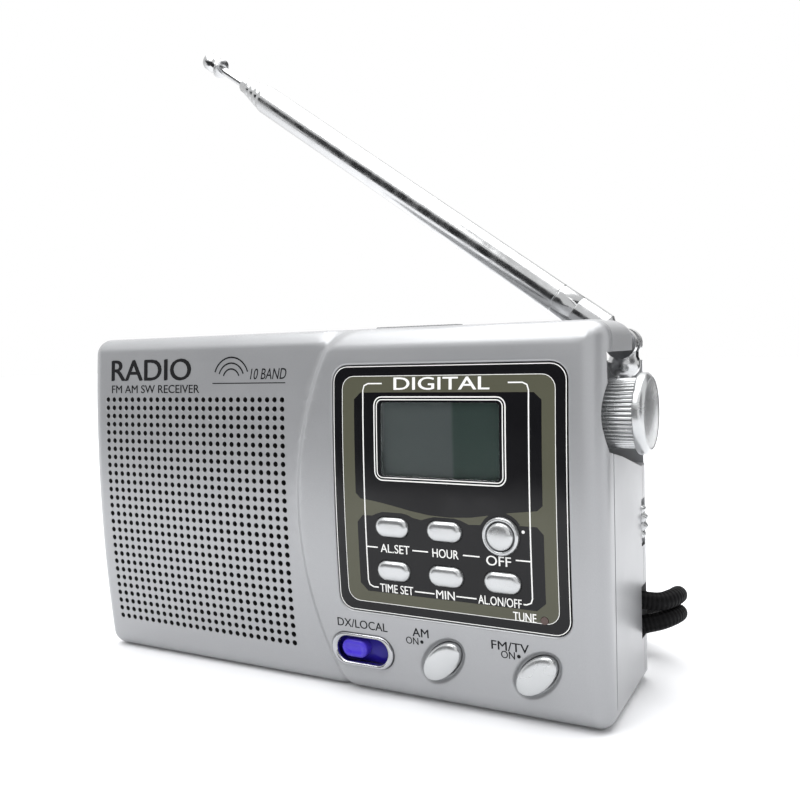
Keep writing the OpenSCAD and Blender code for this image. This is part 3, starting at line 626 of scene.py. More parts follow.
def front_case():
    samples = outline_samples()
    ring_points = [[fillet_point(s, 90 - 10 * k) for s in samples] for k in range(10)]
    edge = ring_points[-1]

    def level(y, deep):
        out = []
        for k, s in enumerate(samples):
            x, z = inset(s, deep * min(max((edge[k][2] - 4.2) / 0.6, 0.0), 1.0))
            out.append((x, y, z))
        return out

    def behind(y, deep, order):
        return [(p[0], max(p[1], edge[k][1] + 0.02 * order), p[2]) for k, p in enumerate(level(y, deep))]

    back = [behind(-11.8, 0.0, 1), behind(-11.74, 0.4, 2), behind(-11.26, 0.4, 3), behind(-11.2, 0.0, 4)]
    tail = [[(*inset(s, 0.0), 0) for s in samples]]
    back += [[(x, SEAM_Y - 0.18, z) for x, z, _ in tail[0]]]
    back += [[(x, SEAM_Y, z) for x, z in (inset(s, 0.18) for s in samples)]]
    bm = bmesh.new()
    ahead = [(x, -24.0, z) for x, _, z in ring_points[0]]
    rings(bm, [ahead] + ring_points + back, close_first=True)
    bmesh.ops.remove_doubles(bm, verts=bm.verts, dist=0.0005)
    bmesh.ops.recalc_face_normals(bm, faces=bm.faces)
    mesh = bpy.data.meshes.new("front_case_raw")
    bm.to_mesh(mesh)
    bm.free()
    raw = bpy.data.objects.new("front_case_raw", mesh)
    scene.collection.objects.link(raw)

    bay = [(-14.4, 71.0), (-14.4, 65.3)]
    bay_round = [65 - 0.6 * k for k in range(21)]
    bay += [(KNOB_Y - math.sqrt(BAY_R ** 2 - (z - KNOB_Z) ** 2), z) for z in bay_round]
    bay += [(-14.4, 52.8), (KNOB_Y, 50.9), (11, 46.9), (14, 46.9), (14, 71.0)]
    top_strip = [(4.4, 70.5)] + arc(-1, 71.6, 5.4, range(0, 96, 6)) + [(-1.0, 79.0), (7.0, 79.0), (7.0, 70.5)]
    cut(raw, box_shape((-61.8, -13.6, 2.2), (53.9, 14.0, 67.6)))
    cut(raw, prism_shape(bay, 56.0, 66.0, "x"))
    cut(raw, prism_shape(top_strip, 56.0, 66.0, "x"))
    cut(raw, box_shape((-66.0, 6.6, 68.75), (66.0, 14.0, 79.0)))
    cut(raw, prism_shape(circle(WHEEL_X, WHEEL_Z, 9.4, 64), SEAM_Y - 1.6, 14.0, "y"))
    cut(raw, prism_shape(rounded_rect(60, SEAM_Y, 10.6, 4.8, 0.4), 10.7, 21.7, "z"))
    cut(raw, prism_shape(rounded_rect(20.65, -1.8, 32.7, 4.8, 0.5), 66.0, 79.0, "z"))
    for z, r in ((57, 2.6), (47, 2.8)):
        cut(raw, prism_shape(circle(5, z, r, 40), -66.0, -60.0, "x"))

    bm = bmesh.new()
    bm.from_mesh(raw.data)
    bpy.data.objects.remove(raw)
    bmesh.ops.delete(bm, geom=[v for v in bm.verts if v.co.y < -22], context="VERTS")

    # the face, as one sheet that carries every pocket
    rim = []
    for x, _, z in ring_points[0]:
        if not rim or math.hypot(rim[-1][0] - x, rim[-1][1] - z) > 0.001:
            rim.append((x, z))
    x0, z0, x1, z1 = GRILLE
    screen = spaced([(x0, z0), (x1, z0), (x1, z1), (x0, z1)], 0.5)
    loops = [rim, screen]
    for d, _ in PANEL_EDGE:
        grow = 0.1 + d
        wide, high = PANEL_W + 2 * grow, PANEL_H + 2 * grow
        loops.append(spaced(rounded_rect(*PANEL_C, wide, high, PANEL_R + grow), 3))
    for d, _ in BEZEL_EDGE:
        loops.append(stadium(*RANGE_C, 2 * (BEZEL_RUN + BEZEL_R + d), 2 * (BEZEL_R + d)))
    for c in (AM_C, FM_C):
        for d, _ in DISH_EDGE:
            loops.append(dish_outline(c, 0.8 + d))
        for d, _ in HOLE_EDGE:
            loops.append(dish_outline(c, 0.15 + d))
    panel_hole, bezel_hole = loops[1 + len(PANEL_EDGE)], loops[1 + len(PANEL_EDGE) + len(BEZEL_EDGE)]
    oval_holes = [dish_outline(c, 0.15 + HOLE_EDGE[-1][0]) for c in (AM_C, FM_C)]
    points = []
    for i in range(64):
        for j in range(39):
            x, z = -63 + 2 * i + (j % 2), 0.5 + 2 * j
            if within(x, z, rim) and not (x0 - 0.3 < x < x1 + 0.3 and z0 - 0.3 < z < z1 + 0.3):
                if not within(x, z, panel_hole):
                    points.append((x, z))
    for j in range(60):
        z = 4.5 + 1.15 * j
        for value in (0.02, 0.12, 0.3, 0.5, 0.7, 0.88, 0.98):
            low, high = -6.0, 30.0
            for _ in range(24):
                mid = (low + high) / 2
                low, high = (mid, high) if raised(mid, z) < value else (low, mid)
            if within(low, z, rim):
                points.append((low, z))

    def keep(x, z):
        if x0 < x < x1 and z0 < z < z1:
            return False
        holes = (panel_hole, bezel_hole, *oval_holes)
        return within(x, z, rim) and not any(within(x, z, h) for h in holes)

    triangulate(bm, loops, points, keep, front_y)

    # the perforated field, one square cell round each hole
    ring_angles = [math.tau * k / 16 for k in range(16)]
    square = [(math.cos(a) / max(abs(math.cos(a)), abs(math.sin(a))),
               math.sin(a) / max(abs(math.cos(a)), abs(math.sin(a)))) for a in ring_angles]
    square = [(round(u * 2) / 2, round(v * 2) / 2) for u, v in square]
    for i in range(COLS):
        for j in range(ROWS):
            cx, cz = HOLE_X + PITCH * i, HOLE_Z + PITCH * j
            border = [(cx + u, base_y(cx + u, cz + v), cz + v) for u, v in square]
            hoops = []
            for r, deep in ((HOLE_R + 0.05, 0.0), (HOLE_R, 0.07), (HOLE_R - 0.02, 1.5)):
                hoops.append([(x, base_y(cx, z) + deep, z) for x, z in circle(cx, cz, r, 16)])
            rings(bm, [border] + hoops[:2], close_last=False)
            # the wall below each hole's lip takes the near-black second finish: painted shade in the holes
            rings(bm, hoops[1:], 1, close_last=False)
    bmesh.ops.remove_doubles(bm, verts=bm.verts, dist=0.0008)
    closed("front_case", bm, "case", "silver_paint", 40.0, "front_shell", "speaker_grille", second=HOLE_SHADE)


def grille_hole_shade():
    """A near-black sheet just behind the holes that closes them: painted shade for the dark seen through
    them.
    """
    bm = bmesh.new()
    x0, z0, x1, z1 = GRILLE
    nx, nz = 12, 28
    grid = [[bm.verts.new((x0 + (x1 - x0) * i / nx, base_y(-40, z0 + (z1 - z0) * j / nz) + 1.35,
                           z0 + (z1 - z0) * j / nz)) for j in range(nz + 1)] for i in range(nx + 1)]
    for i in range(nx):
        for j in range(nz):
            bm.faces.new((grid[i][j], grid[i + 1][j], grid[i + 1][j + 1], grid[i][j + 1]))
    bmesh.ops.solidify(bm, geom=list(bm.faces), thickness=0.2)
    make("grille_hole_shade", bm, [HOLE_SHADE], "case")


# ---- labels --------------------------------------------------------------


def label(bm, text, x, z, height, lift, width=None, bold=0.0, slant=0.0):
    """Adds flat lettering centred at x, z with the given capital height, lying on a surface.

    Bold lettering is struck twice, a little apart.
    """
    curve = bpy.data.curves.new("label", "FONT")
    curve.body = text
    curve.align_x = "CENTER"
    curve.align_y = "CENTER"
    curve.size = height / 0.7
    curve.shear = slant
    curve.resolution_u = 4
    obj = bpy.data.objects.new("label", curve)
    scene.collection.objects.link(obj)
    bpy.context.view_layer.update()
    mesh = bpy.data.meshes.new_from_object(obj.evaluated_get(bpy.context.evaluated_depsgraph_get()))
    xs = [v.co.x for v in mesh.vertices]
    ys = [v.co.y for v in mesh.vertices]
    middle = (min(xs) + max(xs)) / 2, (min(ys) + max(ys)) / 2
    stretch = width / (max(xs) - min(xs)) if width else 1.0
    for strike in ((-bold, bold) if bold else (0.0,)):
        verts = []
        for v in mesh.vertices:
            px, pz = x + strike + (v.co.x - middle[0]) * stretch, z + strike / 3 + v.co.y - middle[1]
            verts.append(bm.verts.new((px, lift(px, pz) - strike / 50, pz)))
        for poly in mesh.polygons:
            bm.faces.new([verts[i] for i in poly.vertices])
    bpy.data.objects.remove(obj)


def strip(bm, points, width, lift):
    """A flat printed line through points."""
    half = width / 2
    for (x0, z0), (x1, z1) in zip(points, points[1:]):
        n = max(1, math.ceil(math.hypot(x1 - x0, z1 - z0) / 3))
        length = math.hypot(x1 - x0, z1 - z0)
        ux, uz = (x1 - x0) / length, (z1 - z0) / length
        last = None
        for k in range(n + 1):
            t = -half * 0.3 + (length + half * 0.6) * k / n
            px, pz = x0 + ux * t, z0 + uz * t
            sides = [(px - uz * s * half, pz + ux * s * half) for s in (-1, 1)]
            pair = [bm.verts.new((a, lift(a, b), b)) for a, b in sides]
            if last:
                bm.faces.new((last[0], pair[0], pair[1], last[1]))
            last = pair


def case_labels():
    bm = bmesh.new()
    on_case = lambda x, z: base_y(x, z) - 0.02
    label(bm, "RADIO", -44.5, 69.4, 5.0, on_case, 25, 0.17)
    label(bm, "FM AM SW RECEIVER", -43.2, 64.9, 1.9, on_case, 27.5, 0.04)
    label(bm, "10 BAND", -10.0, 68.1, 2.4, on_case, 9.8, 0.02, 0.25)
    strip(bm, [(-25.5, 66.1), (-5.4, 66.1)], 0.22, on_case)
    for r in (4.9, 3.6, 2.3):
        strip(bm, arc(-20.2, 67.0, r, range(20, 161, 10)), 0.34, on_case)
    label(bm, "DX/LOCAL", 12.4, 15.5, 1.8, on_case, 12.0, 0.03)
    label(bm, "AM", 26.0, 15.5, 1.8, on_case, 3.6, 0.03)
    label(bm, "ON", 24.0, 13.6, 1.5, on_case, 2.8, 0.02)
    label(bm, "FM/TV", 45.1, 15.3, 1.8, on_case, 7.6, 0.03)
    label(bm, "ON", 44.6, 13.6, 1.5, on_case, 2.8, 0.02)
    for x in (26.2, 46.8):
        ring = circle(x, 13.6, 0.38, 14)
        bm.faces.new([bm.verts.new((a, on_case(a, b), b)) for a, b in ring])
    make("case_labels", bm, [DARK_INK], "case")


# ---- display panel -------------------------------------------------------


def panel_lift(x, z):
    return PANEL_Y + sag(z)


def display_panel():
    """The printed panel: black rim, olive band and two black fields in one glossy sheet."""
    rim = rounded_rect(*PANEL_C, PANEL_W, PANEL_H, PANEL_R, 8)
    shrink = [rounded_rect(*PANEL_C, PANEL_W - 2 * d, PANEL_H - 2 * d, PANEL_R - d, 8) for d in (0.12, 0.35)]
    olive = rounded_rect(*OLIVE_BAND, 8)
    wave_x = [12.5, 13.6, 17, 21, 25, 29, 33.5, 38, 42, 46, 51.4, 52.5]
    wave_z = [43.4, 42.3, 41.9, 41.2, 40.4, 39.8, 39.6, 39.9, 40.6, 41.3, 42.0, 43.0]
    upper = [(14.0, 64.0), (12.5, 62.6)] + list(zip(wave_x, wave_z)) + [(52.5, 62.6), (51.0, 64.0)]
    lower = [(12.7, 37.4), (12.7, 24.6), (14.4, 23.0), (50.8, 23.0), (52.6, 24.6), (52.6, 37.6)]
    lower += [(51.3, 39.0), (47.7, 39.0)] + arc(PILL_X[2], PILL_Z[0], 4.5, range(32, 153, 15))
    lower += [(40.0, 38.6), (37.6, 38.5)]
    lower += [(35.9, 39.2), (34.6, 39.5), (30.2, 39.5), (28.9, 39.2), (27.4, 38.7), (25.6, 39.0)]
    lower += [(24.2, 39.6), (23.0, 39.8), (18.6, 39.8), (17.3, 39.4), (16.2, 38.9), (14.0, 38.9)]
    holes = [stadium(PILL_X[c], PILL_Z[r], 7.7, 4.3) for c in range(3) for r in range(2) if (c, r) != (2, 0)]
    holes.append(circle(PILL_X[2], PILL_Z[0], 3.75, 36))
    holes.append(rounded_rect(*WINDOW_C, 25.5, 14.8, 0.8))
    holes.append(circle(52.2, 21.3, 0.8, 20))
    loops = [spaced(l, 2.5) for l in [rim] + shrink + [olive, upper, lower] + holes]
    points = [(8 + 2.2 * i + (j % 2), 19 + 2.0 * j) for i in range(23) for j in range(26)]
    points = [p for p in points if within(*p, rim) and not any(within(*p, h) for h in holes)]

    def lift(x, z):
        d = -box_distance(x, z, PANEL_C, PANEL_W, PANEL_H, PANEL_R)
        return panel_lift(x, z) + profile(-d, ((0.0, 0.22), (-0.12, 0.06), (-0.35, 0.0)))

    def ink(x, z):
        if within(x, z, upper) or within(x, z, lower) or not within(x, z, olive):
            return 0
        return 1

    bm = bmesh.new()
    triangulate(bm, loops, points, lambda x, z: within(x, z, rim) and not any(within(x, z, h) for h in holes),
                lift, ink)
    for outline in [rim] + holes:
        line = spaced(outline, 2.5)
        top = add_loop(bm, [(x, lift(x, z), z) for x, z in line])
        low = add_loop(bm, [(x, panel_lift(x, z) + 1.05, z) for x, z in line])
        add_band(bm, top, low)
    make("display_panel_print", bm, [MATS["panel_print"], OLIVE], "case", 30.0,
         ("display_panel",))


def panel_lettering_and_edge_highlight():
    bm = bmesh.new()
    on = lambda x, z: panel_lift(x, z) - 0.02
    white = 0.26

    def outline(loop, width):
        strip(bm, loop + loop[:1], width, on)

    # A thin light line just inside the panel's edge, in the white finish: a painted highlight on the edge's
    # chamfer.
    outline(rounded_rect(*PANEL_C, PANEL_W - 0.5, PANEL_H - 0.5, PANEL_R - 0.25, 6), 0.16)
    outline(rounded_rect(*OLIVE_BAND, 6), 0.12)
    outline(rounded_rect(31.3, 54.7, 28.2, 16.8, 1.7, 6), 0.24)
    outline(rounded_rect(31.3, 54.7, 27.1, 15.7, 1.2, 6), 0.2)
    strip(bm, [(19.0, 65.8), (15.8, 65.8), (14.9, 65.4), (14.6, 64.4), (14.6, 25.4), (14.9, 24.4),
               (15.8, 24.0), (16.9, 24.0)], white, on)
    strip(bm, [(46.0, 65.8), (48.8, 65.8), (49.7, 65.4), (50.0, 64.4), (50.0, 25.3), (49.7, 24.4),
               (48.8, 24.0), (48.2, 24.0)], white, on)
    for x0, x1 in ((14.6, 17.2), (25.2, 28.6), (36.2, 39.6), (47.0, 50.0)):
        strip(bm, [(x0, 32.4), (x1, 32.4)], white, on)
    for x0, x1 in ((25.3, 29.6), (34.4, 38.6)):
        strip(bm, [(x0, 24.0), (x1, 24.0)], white, on)
    label(bm, "DIGITAL", 32.0, 65.75, 2.5, on, 20.5, 0.05)
    label(bm, "OFF", 43.5, 31.9, 1.9, on, 5.0, 0.02)
    captions = (("AL.SET", 21.2, 32.35, 6.6), ("HOUR", 32.4, 32.35, 5.6), ("TIME SET", 21.1, 24.0, 7.6),
                ("MIN", 32.0, 24.0, 4.0), ("AL.ON/OFF", 43.4, 24.0, 8.8), ("TUNE", 48.3, 21.5, 4.6))
    for text, x, z, wide in captions:
        label(bm, text, x, z, 1.75, on, wide, 0.02)
    dot = circle(48.6, 37.9, 0.32, 12)
    bm.faces.new([bm.verts.new((a, on(a, b), b)) for a, b in dot])
    make("panel_lettering_and_edge_highlight", bm, [WHITE_PRINT_AND_HIGHLIGHT], "case")


# ---- buttons -------------------------------------------------------------


def domed(name, outline, levels, body, node):
    """A cap built from an outline at successive insets and depths, closed at the top."""
    bm = bmesh.new()
    rings(bm, [[(x, y, z) for x, z in outline(d)] for d, y in levels], close_first=True)
    closed(name, bm, body, "silver_button", 50.0, node)


def clock_buttons():
    names = {(0, 0): ("alarm_set_key", "alarm_set_button"), (1, 0): ("hour_key", "hour_button"),
             (0, 1): ("time_set_key", "time_set_button"), (1, 1): ("minute_key", "minute_button"),
             (2, 1): ("alarm_key", "alarm_button")}
    for (c, r), (body, node) in names.items():
        x, z = PILL_X[c], PILL_Z[r]
        y = PANEL_Y + sag(z) - 0.9
        outline = lambda d, x=x, z=z: stadium(x, z, PILL_W - 2 * d, PILL_H - 2 * d)
        back = flange_y(z, PILL_H / 2 + KEY_RIM)
        levels = ((-0.6, back + 0.6), (-0.6, back), (0, back), (0, y + 0.62), (0.1, y + 0.4), (0.5, y + 0.12),
                  (0.9, y + 0.02), (1.4, y), (1.9, y))
        domed(node + "_cap", outline, levels, body, node)
    x, z = PILL_X[2], PILL_Z[0]
    y = PANEL_Y + sag(z) - 1.5
    back = flange_y(z, OFF_R + KEY_RIM)
    levels = ((-0.6, back + 0.6), (-0.6, back), (0, back), (0, y + 0.8), (0.15, y + 0.45), (0.5, y + 0.22),
              (1.1, y + 0.1), (1.8, y + 0.03), (2.6, y))
    domed("off_button_cap", lambda d: circle(x, z, OFF_R - d, 48), levels, "off_key", "off_button")
    y = PANEL_Y + sag(z)
    bm = bmesh.new()
    hoop = ((3.7, 1.0), (3.7, -0.45), (3.62, -0.7), (3.45, -0.86), (3.2, -0.9), (3.0, -0.82), (2.88, -0.6),
            (2.86, 1.0))
    rings(bm, [[(a, y + dy, b) for a, b in circle(x, z, r, 48)] for r, dy in hoop], close_last=False)
    closed("off_button_hoop", bm, "case", "silver_button", 50.0, "off_button_ring")


def power_buttons():
    for c, body, node in ((AM_C, "am_key", "am_button"), (FM_C, "fm_key", "fm_button")):
        y = FRONT_Y + sag(c[1]) - 1.2
        back = flange_y(c[1], OVAL_HALF)
        levels = [(-0.7, back + 1), (-0.7, back), (0, back), (0, y + 0.95)]
        for k in range(1, 13):
            a = math.radians(90 * k / 12)
            levels.append((0.6 * (1 - math.cos(a)) + 2.0 * (k / 12) ** 3, y + 0.95 * (1 - math.sin(a))))
        domed(node + "_dome", lambda d, c=c: dish_outline(c, -d), levels, body, node)


def range_slide():
    y = FRONT_Y + sag(RANGE_C[1])
    bm = bmesh.new()
    hoop = ((1.3, 0.9, 0.9), (1.3, 0.9, -0.2), (1.22, 0.82, -0.38), (1.0, 0.6, -0.5), (0.6, 0.35, -0.5),
            (0.2, 0.12, -0.36), (0.0, 0.0, -0.1), (0.0, 0.0, 0.9))
    loops = []
    for dx, dz, dy in hoop:
        w, h = 12.2 + 2 * dx, 5.4 + 2 * dz * 0.89
        loops.append([(a, y + dy, b) for a, b in stadium(*RANGE_C, w, h, 16)])
    rings(bm, loops, close_last=False)
    closed("range_bezel_ring", bm, "case", "bezel_chrome", 50.0, "range_bezel")
    x, z = 9.9, RANGE_C[1]
    bm = bmesh.new()
    plate = ((0.0, -13.8), (0.0, -14.6), (0.1, -14.7))
    rings(bm, [[(a, deep, b) for a, b in rounded_rect(9.8, z, 16.4 - 2 * d, 6.2 - 2 * d, 0.4)]
               for d, deep in plate], close_first=True)
    # the grip's rings take the lighter blue, painted light on the same moulding as the plate
    grip = ((0.0, -14.6), (0.0, y + 0.5), (0.12, y + 0.2), (0.45, y), (0.8, y - 0.05), (1.0, y + 0.02),
            (1.3, y + 0.16), (1.8, y + 0.18))
    rings(bm, [[(a, deep, b) for a, b in stadium(x, z, 6.2 - 2 * d, 3.8 - 2 * d, 14)] for d, deep in grip], 1)
    closed("range_slider", bm, "range_slider", "blue_plastic", 45.0, "range_knob", second=BLUE_GRIP_PAINTED_LIGHTER)


# ---- turned parts --------------------------------------------------------


def turned(bm, profile_points, place, steps, ribs=0, rib_deep=0.0):
    """Rings round an axis: profile points are (along, radius, rib weight)."""
    loops = []
    for t, r, weight in profile_points:
        loop = []
        for k in range(steps):
            a = math.tau * k / steps
            shape = 0.5 - 0.5 * math.cos(a * ribs) if ribs else 0.0
            shape = shape ** 0.6
            rr = max(r - weight * rib_deep * (1 - shape), 0.0005)
            loop.append(place(t, rr * math.cos(a), rr * math.sin(a)))
        loops.append(loop)
    rings(bm, loops, close_first=True)


def tuning_knob():
    bm = bmesh.new()
    drum = ((57.0, 5.9, 0), (57.1, 6.2, 0), (57.3, 6.7, 1), (67.3, 6.7, 1), (67.45, 6.5, 0.3), (67.5, 6.4, 0))
    rim = ((67.52, 7.5), (67.6, 7.72), (67.8, 7.8), (68.7, 7.8), (68.95, 7.72), (69.25, 7.45))
    face = ((69.62, 6.9), (69.66, 6.78), (69.6, 6.6), (69.6, 6.4), (69.68, 4.5), (69.75, 2.0), (69.78, 0.0))
    shape = drum + tuple((t, r, 0) for t, r in rim + face)
    turned(bm, shape, lambda t, u, v: (t, KNOB_Y + u, KNOB_Z + v), 480, 48, 0.42)
    closed("tuning_knob_turned", bm, "tuning_control", "silver_button", 40.0, "tuning_knob")


def volume_wheel():
    bm = bmesh.new()
    y = SEAM_Y - 1.3
    shape = ((y - 3.0, 1.5, 0), (y - 0.02, 1.5, 0), (y, 8.3, 0), (y + 0.15, 8.7, 0.6), (y + 0.45, 9.0, 1),
             (y + 2.15, 9.0, 1), (y + 2.45, 8.7, 0.6), (y + 2.6, 8.3, 0), (y + 2.6, 0.0, 0))
    turned(bm, shape, lambda t, u, v: (WHEEL_X + u, t, WHEEL_Z + v), 28 * 10, 28, 0.75)
    closed("volume_wheel_turned", bm, "volume_control", "silver_button", 40.0, "volume_wheel")


def band_grip():
    """The ribbed slider in the top: a plate under the case and rounded ribs above it."""
    bm = bmesh.new()
    y0, y1, x0, x1 = -3.9, 0.3, 10.2, 29.6
    outline = []
    ribs = 24
    pitch = (x1 - x0) / ribs
    outline.append((x0, 73.6))
    for i in range(ribs):
        for k in range(6):
            t = k / 5
            outline.append((x0 + pitch * (i + 0.06 + 0.88 * t), 77.05 + 0.45 * math.sin(math.pi * t) ** 0.6))
    outline.append((x1, 73.6))
    soft = [[(x, y, min(z, 77.0)) for x, z in outline] for y in (y0, y1)]
    full = [[(x, y, z) for x, z in outline] for y in (y0 + 0.35, y1 - 0.35)]
    rings(bm, [soft[0], *full, soft[1]], close_first=True)
    plate = box_shape((-1.7, -5.2, 73.5), (42.0, 1.6, 74.85))
    mesh = bpy.data.meshes.new("plate")
    plate.to_mesh(mesh)
    plate.free()
    bm.from_mesh(mesh)
    closed("band_slider_grip", bm, "band_slider", "grey_plastic", 45.0, "band_knob")


# ---- antenna -------------------------------------------------------------

HINGE = Vector((61.0, 10.2, 72.33))
TILT = math.radians(35.8)
ALONG = Vector((-math.cos(TILT), 0, math.sin(TILT)))
ACROSS = Vector((math.sin(TILT), 0, math.cos(TILT)))
SIDE = Vector((0, 1, 0))


def on_mast(t, u, v):
    return tuple(HINGE + ALONG * t + ACROSS * u + SIDE * v)


def mast_part(name, shape, body, node, steps=64):
    bm = bmesh.new()
    turned(bm, [(t, r, 0) for t, r in shape], on_mast, steps)
    closed(name, bm, body, "antenna_chrome", 40.0, node)


def antenna():
    radius = [3.4 - 0.4 * i for i in range(5)]
    ends = [109.33 + 7.5 * i / 4 for i in range(5)]
    bodies = ["antenna_arm", "antenna_slide_2", "antenna_slide_3", "antenna_slide_4"]
    for i in range(4):
        r, start, end = radius[i], 12.03 if i == 0 else 19.23, ends[i]
        inner = r - 0.34
        shape = [(start, inner), (start, r - 0.05), (start + 0.06, r)]
        if i == 0:
            shape += [(16.7, r), (16.8, r - 0.1), (17.05, r - 0.1), (17.15, r)]
        shape += [(end - 1.3, r), (end - 0.5, r - 0.12), (end - 0.12, r - 0.26), (end, inner + 0.02)]
        shape += [(end, inner), (start, inner)]
        bm = bmesh.new()
        loops = [[on_mast(t, u, v) for u, v in circle(0, 0, rr, 64)] for t, rr in shape]
        rings(bm, loops, close_last=False)
        closed(f"antenna_section_{i + 1}", bm, bodies[i], "antenna_chrome", 40.0, f"antenna_tube_{i + 1}")
    mast_part("antenna_section_5", ((19.23, 1.8), (ends[4] - 0.5, 1.8), (ends[4] - 0.1, 1.6), (ends[4], 1.3),
                                    (ends[4] + 0.02, 0.95), (125.4, 0.95)), "antenna_slide_5", "antenna_rod")
    tip = ((0, 0.9), (0.02, 2.2), (0.15, 2.38), (0.6, 2.4), (0.8, 2.3), (0.85, 1.55), (1.0, 1.5), (2.3, 2.0),
           (2.6, 2.1), (4.8, 2.1), (5.2, 1.95), (5.45, 1.5), (5.5, 0.0))
    mast_part("antenna_tip_turned", [(t + 125.2, r) for t, r in tip], "antenna_slide_5", "antenna_tip")


# ---- strap ---------------------------------------------------------------

STRAP = (
    (62.6, 12.2, 18.3), (66.7, 14, 17.8), (68.9, 17.2, 18), (69.3, 21.1, 17.6),
    (68.3, 24.6, 16.4), (65.9, 29, 14), (62, 33.7, 11.2), (57, 38, 8),
    (50.5, 41.8, 5), (43, 44.5, 3), (34, 46, 2), (20, 47.3, 2),
    (5, 48.3, 2), (-11, 49, 2), (-26, 49.3, 2), (-36, 49, 2),
    (-42.5, 46.5, 2), (-45.8, 41, 2), (-45, 35, 2), (-40.5, 31, 2),
    (-34, 29.5, 2), (-20, 29.3, 2), (-5, 29.3, 2), (10, 29.5, 2),
    (25, 29.8, 2), (38, 30.3, 2), (47, 31, 2.2), (54, 31.6, 3.9),
    (60.5, 31, 6.9), (65.6, 28.3, 10), (68.3, 24.4, 12.3), (69.3, 21.1, 13.6),
    (68.9, 17.2, 14), (66.7, 14, 13.6), (62.6, 12.2, 12.7))


def smooth_curve(points, steps):
    """Points of the smooth curve through the route, as the CAD cord follows it."""
    out = []
    last = len(points) - 1
    for k in range(last):
        a, b = Vector(points[max(k - 1, 0)]), Vector(points[k])
        c, d = Vector(points[k + 1]), Vector(points[min(k + 2, last)])
        for j in range(steps):
            t = j / steps
            out.append(0.5 * (2 * b + (c - a) * t + (2 * a - 5 * b + 4 * c - d) * t * t
                              + (3 * b - a - 3 * c + d) * t ** 3))
    return out + [Vector(points[-1])]


def braided(name, path, radius, sides=20):
    """A cord swept along a path, with coordinates round and along it for its braid."""
    mesh = bpy.data.meshes.new(name)
    verts, faces, along = [], [], [0.0]
    for a, b in zip(path, path[1:]):
        along.append(along[-1] + (b - a).length)
    up = Vector((0, 0, 1))
    for i, p in enumerate(path):
        way = (path[min(i + 1, len(path) - 1)] - path[max(i - 1, 0)]).normalized()
        up = (up - up.dot(way) * way).normalized()
        other = way.cross(up)
        for s in range(sides):
            a = math.tau * s / sides
            verts.append((p + radius * (math.cos(a) * up + math.sin(a) * other)) * MM)
    coords = []
    for i in range(len(path) - 1):
        for s in range(sides):
            n = (s + 1) % sides
            faces.append((i * sides + s, i * sides + n, (i + 1) * sides + n, (i + 1) * sides + s))
            u0, u1, v0, v1 = s / sides, (s + 1) / sides, along[i] / 1.7, along[i + 1] / 1.7
            coords += [(u0, v0), (u1, v0), (u1, v1), (u0, v1)]
    for first in (list(range(sides))[::-1], [(len(path) - 1) * sides + s for s in range(sides)]):
        faces.append(tuple(first))
        coords += [(0.0, 0.0)] * sides
    mesh.from_pydata(verts, [], faces)
    uv = mesh.uv_layers.new(name="braid")
    for k, c in enumerate(coords):
        uv.data[k].uv = c
    for poly in mesh.polygons:
        poly.use_smooth = len(poly.vertices) == 4
    mesh.materials.append(MATS["strap_braid"])
    obj = bpy.data.objects.new(name, mesh)
    scene.collection.objects.link(obj)
    return obj, along[-1]


def strap():
    path = smooth_curve(STRAP, 6)
    cord, length = braided("wrist_strap_braid", path, 1.9)
    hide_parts("wrist_strap")
    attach(cord, "case")
    bar = Vector((60.2, SEAM_Y, 15.5))
    turn = [Vector((62.6, SEAM_Y, 18.3))]
    turn += [Vector((x, SEAM_Y, z)) for x, z in arc(bar.x, bar.z, 2.8, range(90, 271, 15))]
    turn += [Vector((62.6, SEAM_Y, 12.7))]
    bight, _ = braided("strap_bight_braid", turn, 1.85, 16)
    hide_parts("strap_bight")
    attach(bight, "case")


# ---- build ---------------------------------------------------------------

strap()
for item in frame["record"]["subparts"]:
    node = frame["nodes"][item["node"]]
    finish = MATS[item["material_slot"]]
    if not node.material_slots:
        node.data.materials.append(finish)
    for place in node.material_slots:
        place.material = finish

front_case()
grille_hole_shade()
case_labels()
display_panel()
panel_lettering_and_edge_highlight()
clock_buttons()
power_buttons()
range_slide()
tuning_knob()
volume_wheel()
band_grip()
antenna()

# ---- floor and light -----------------------------------------------------



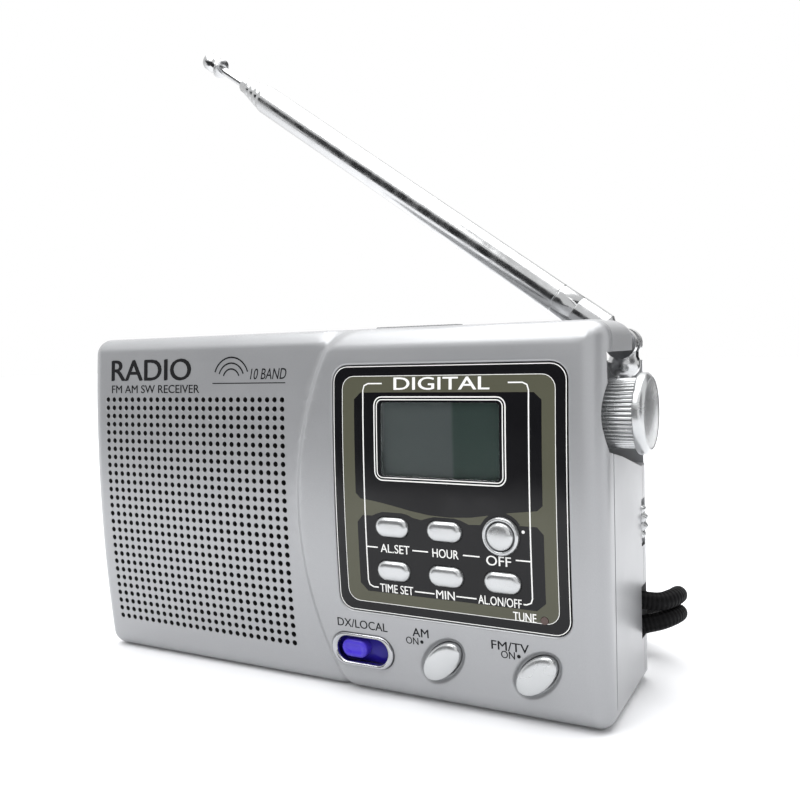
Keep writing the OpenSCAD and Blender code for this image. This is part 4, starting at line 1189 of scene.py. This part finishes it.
def sheet(name, mat, size, at):
    """A flat square of the stage, in metres."""
    bm = bmesh.new()
    bmesh.ops.create_grid(bm, x_segments=2, y_segments=2, size=size)
    mesh = bpy.data.meshes.new(name)
    bm.to_mesh(mesh)
    bm.free()
    mesh.materials.append(mat)
    obj = bpy.data.objects.new(name, mesh)
    obj.location = at
    scene.collection.objects.link(obj)
    return obj


sheet("floor", FLOOR_MAT, 3.0, (0, 0, -0.0001))


def area_light(name, at, toward, size, power, shape=None):
    data = bpy.data.lights.new(name, "AREA")
    data.energy = power
    data.size = size
    if shape:
        data.shape = "RECTANGLE"
        data.size_y = shape
    obj = bpy.data.objects.new(name, data)
    obj.location = at
    obj.rotation_euler = (Vector(toward) - Vector(at)).to_track_quat("-Z", "Y").to_euler()
    scene.collection.objects.link(obj)


area_light("top_light", (0.0, 0.10, 0.75), (0, 0, 0.04), 0.9, 8.0)
area_light("front_light", (-0.25, -0.60, 0.85), (0, 0, 0.04), 0.5, 4.0)
area_light("right_light", (0.55, -0.45, 0.30), (0.05, 0, 0.04), 0.06, 0.3, 0.6)


def card(name, at, toward, wide, high):
    """A dark card out of the picture, for the gloss and chrome to reflect."""
    obj = sheet(name, CARD_MAT, 0.5, at)
    obj.scale = (wide, high, 1)
    obj.rotation_euler = (Vector(toward) - Vector(at)).to_track_quat("-Z", "Y").to_euler()


card("front_card", (-0.55, -1.05, 0.20), (0, 0, 0.06), 1.5, 0.7)
card("side_card", (0.90, -0.35, 0.25), (0.06, 0, 0.06), 0.9, 0.9)
card("floor_card", (-0.30, -0.72, 0.003), (-0.30, -0.72, 1), 1.3, 0.9)
card("right_floor_card", (0.40, 0.62, 0.003), (0.40, 0.62, 1), 0.44, 0.9)
card("back_card", (0.46, 0.90, 0.20), (0.06, 0, 0.04), 0.46, 0.8)

world = bpy.data.worlds.new("world")
world.use_nodes = True
world.node_tree.nodes["Background"].inputs["Color"].default_value = (1, 1, 1, 1)
world.node_tree.nodes["Background"].inputs["Strength"].default_value = 1.0
scene.world = world
scene.view_settings.view_transform = "Standard"
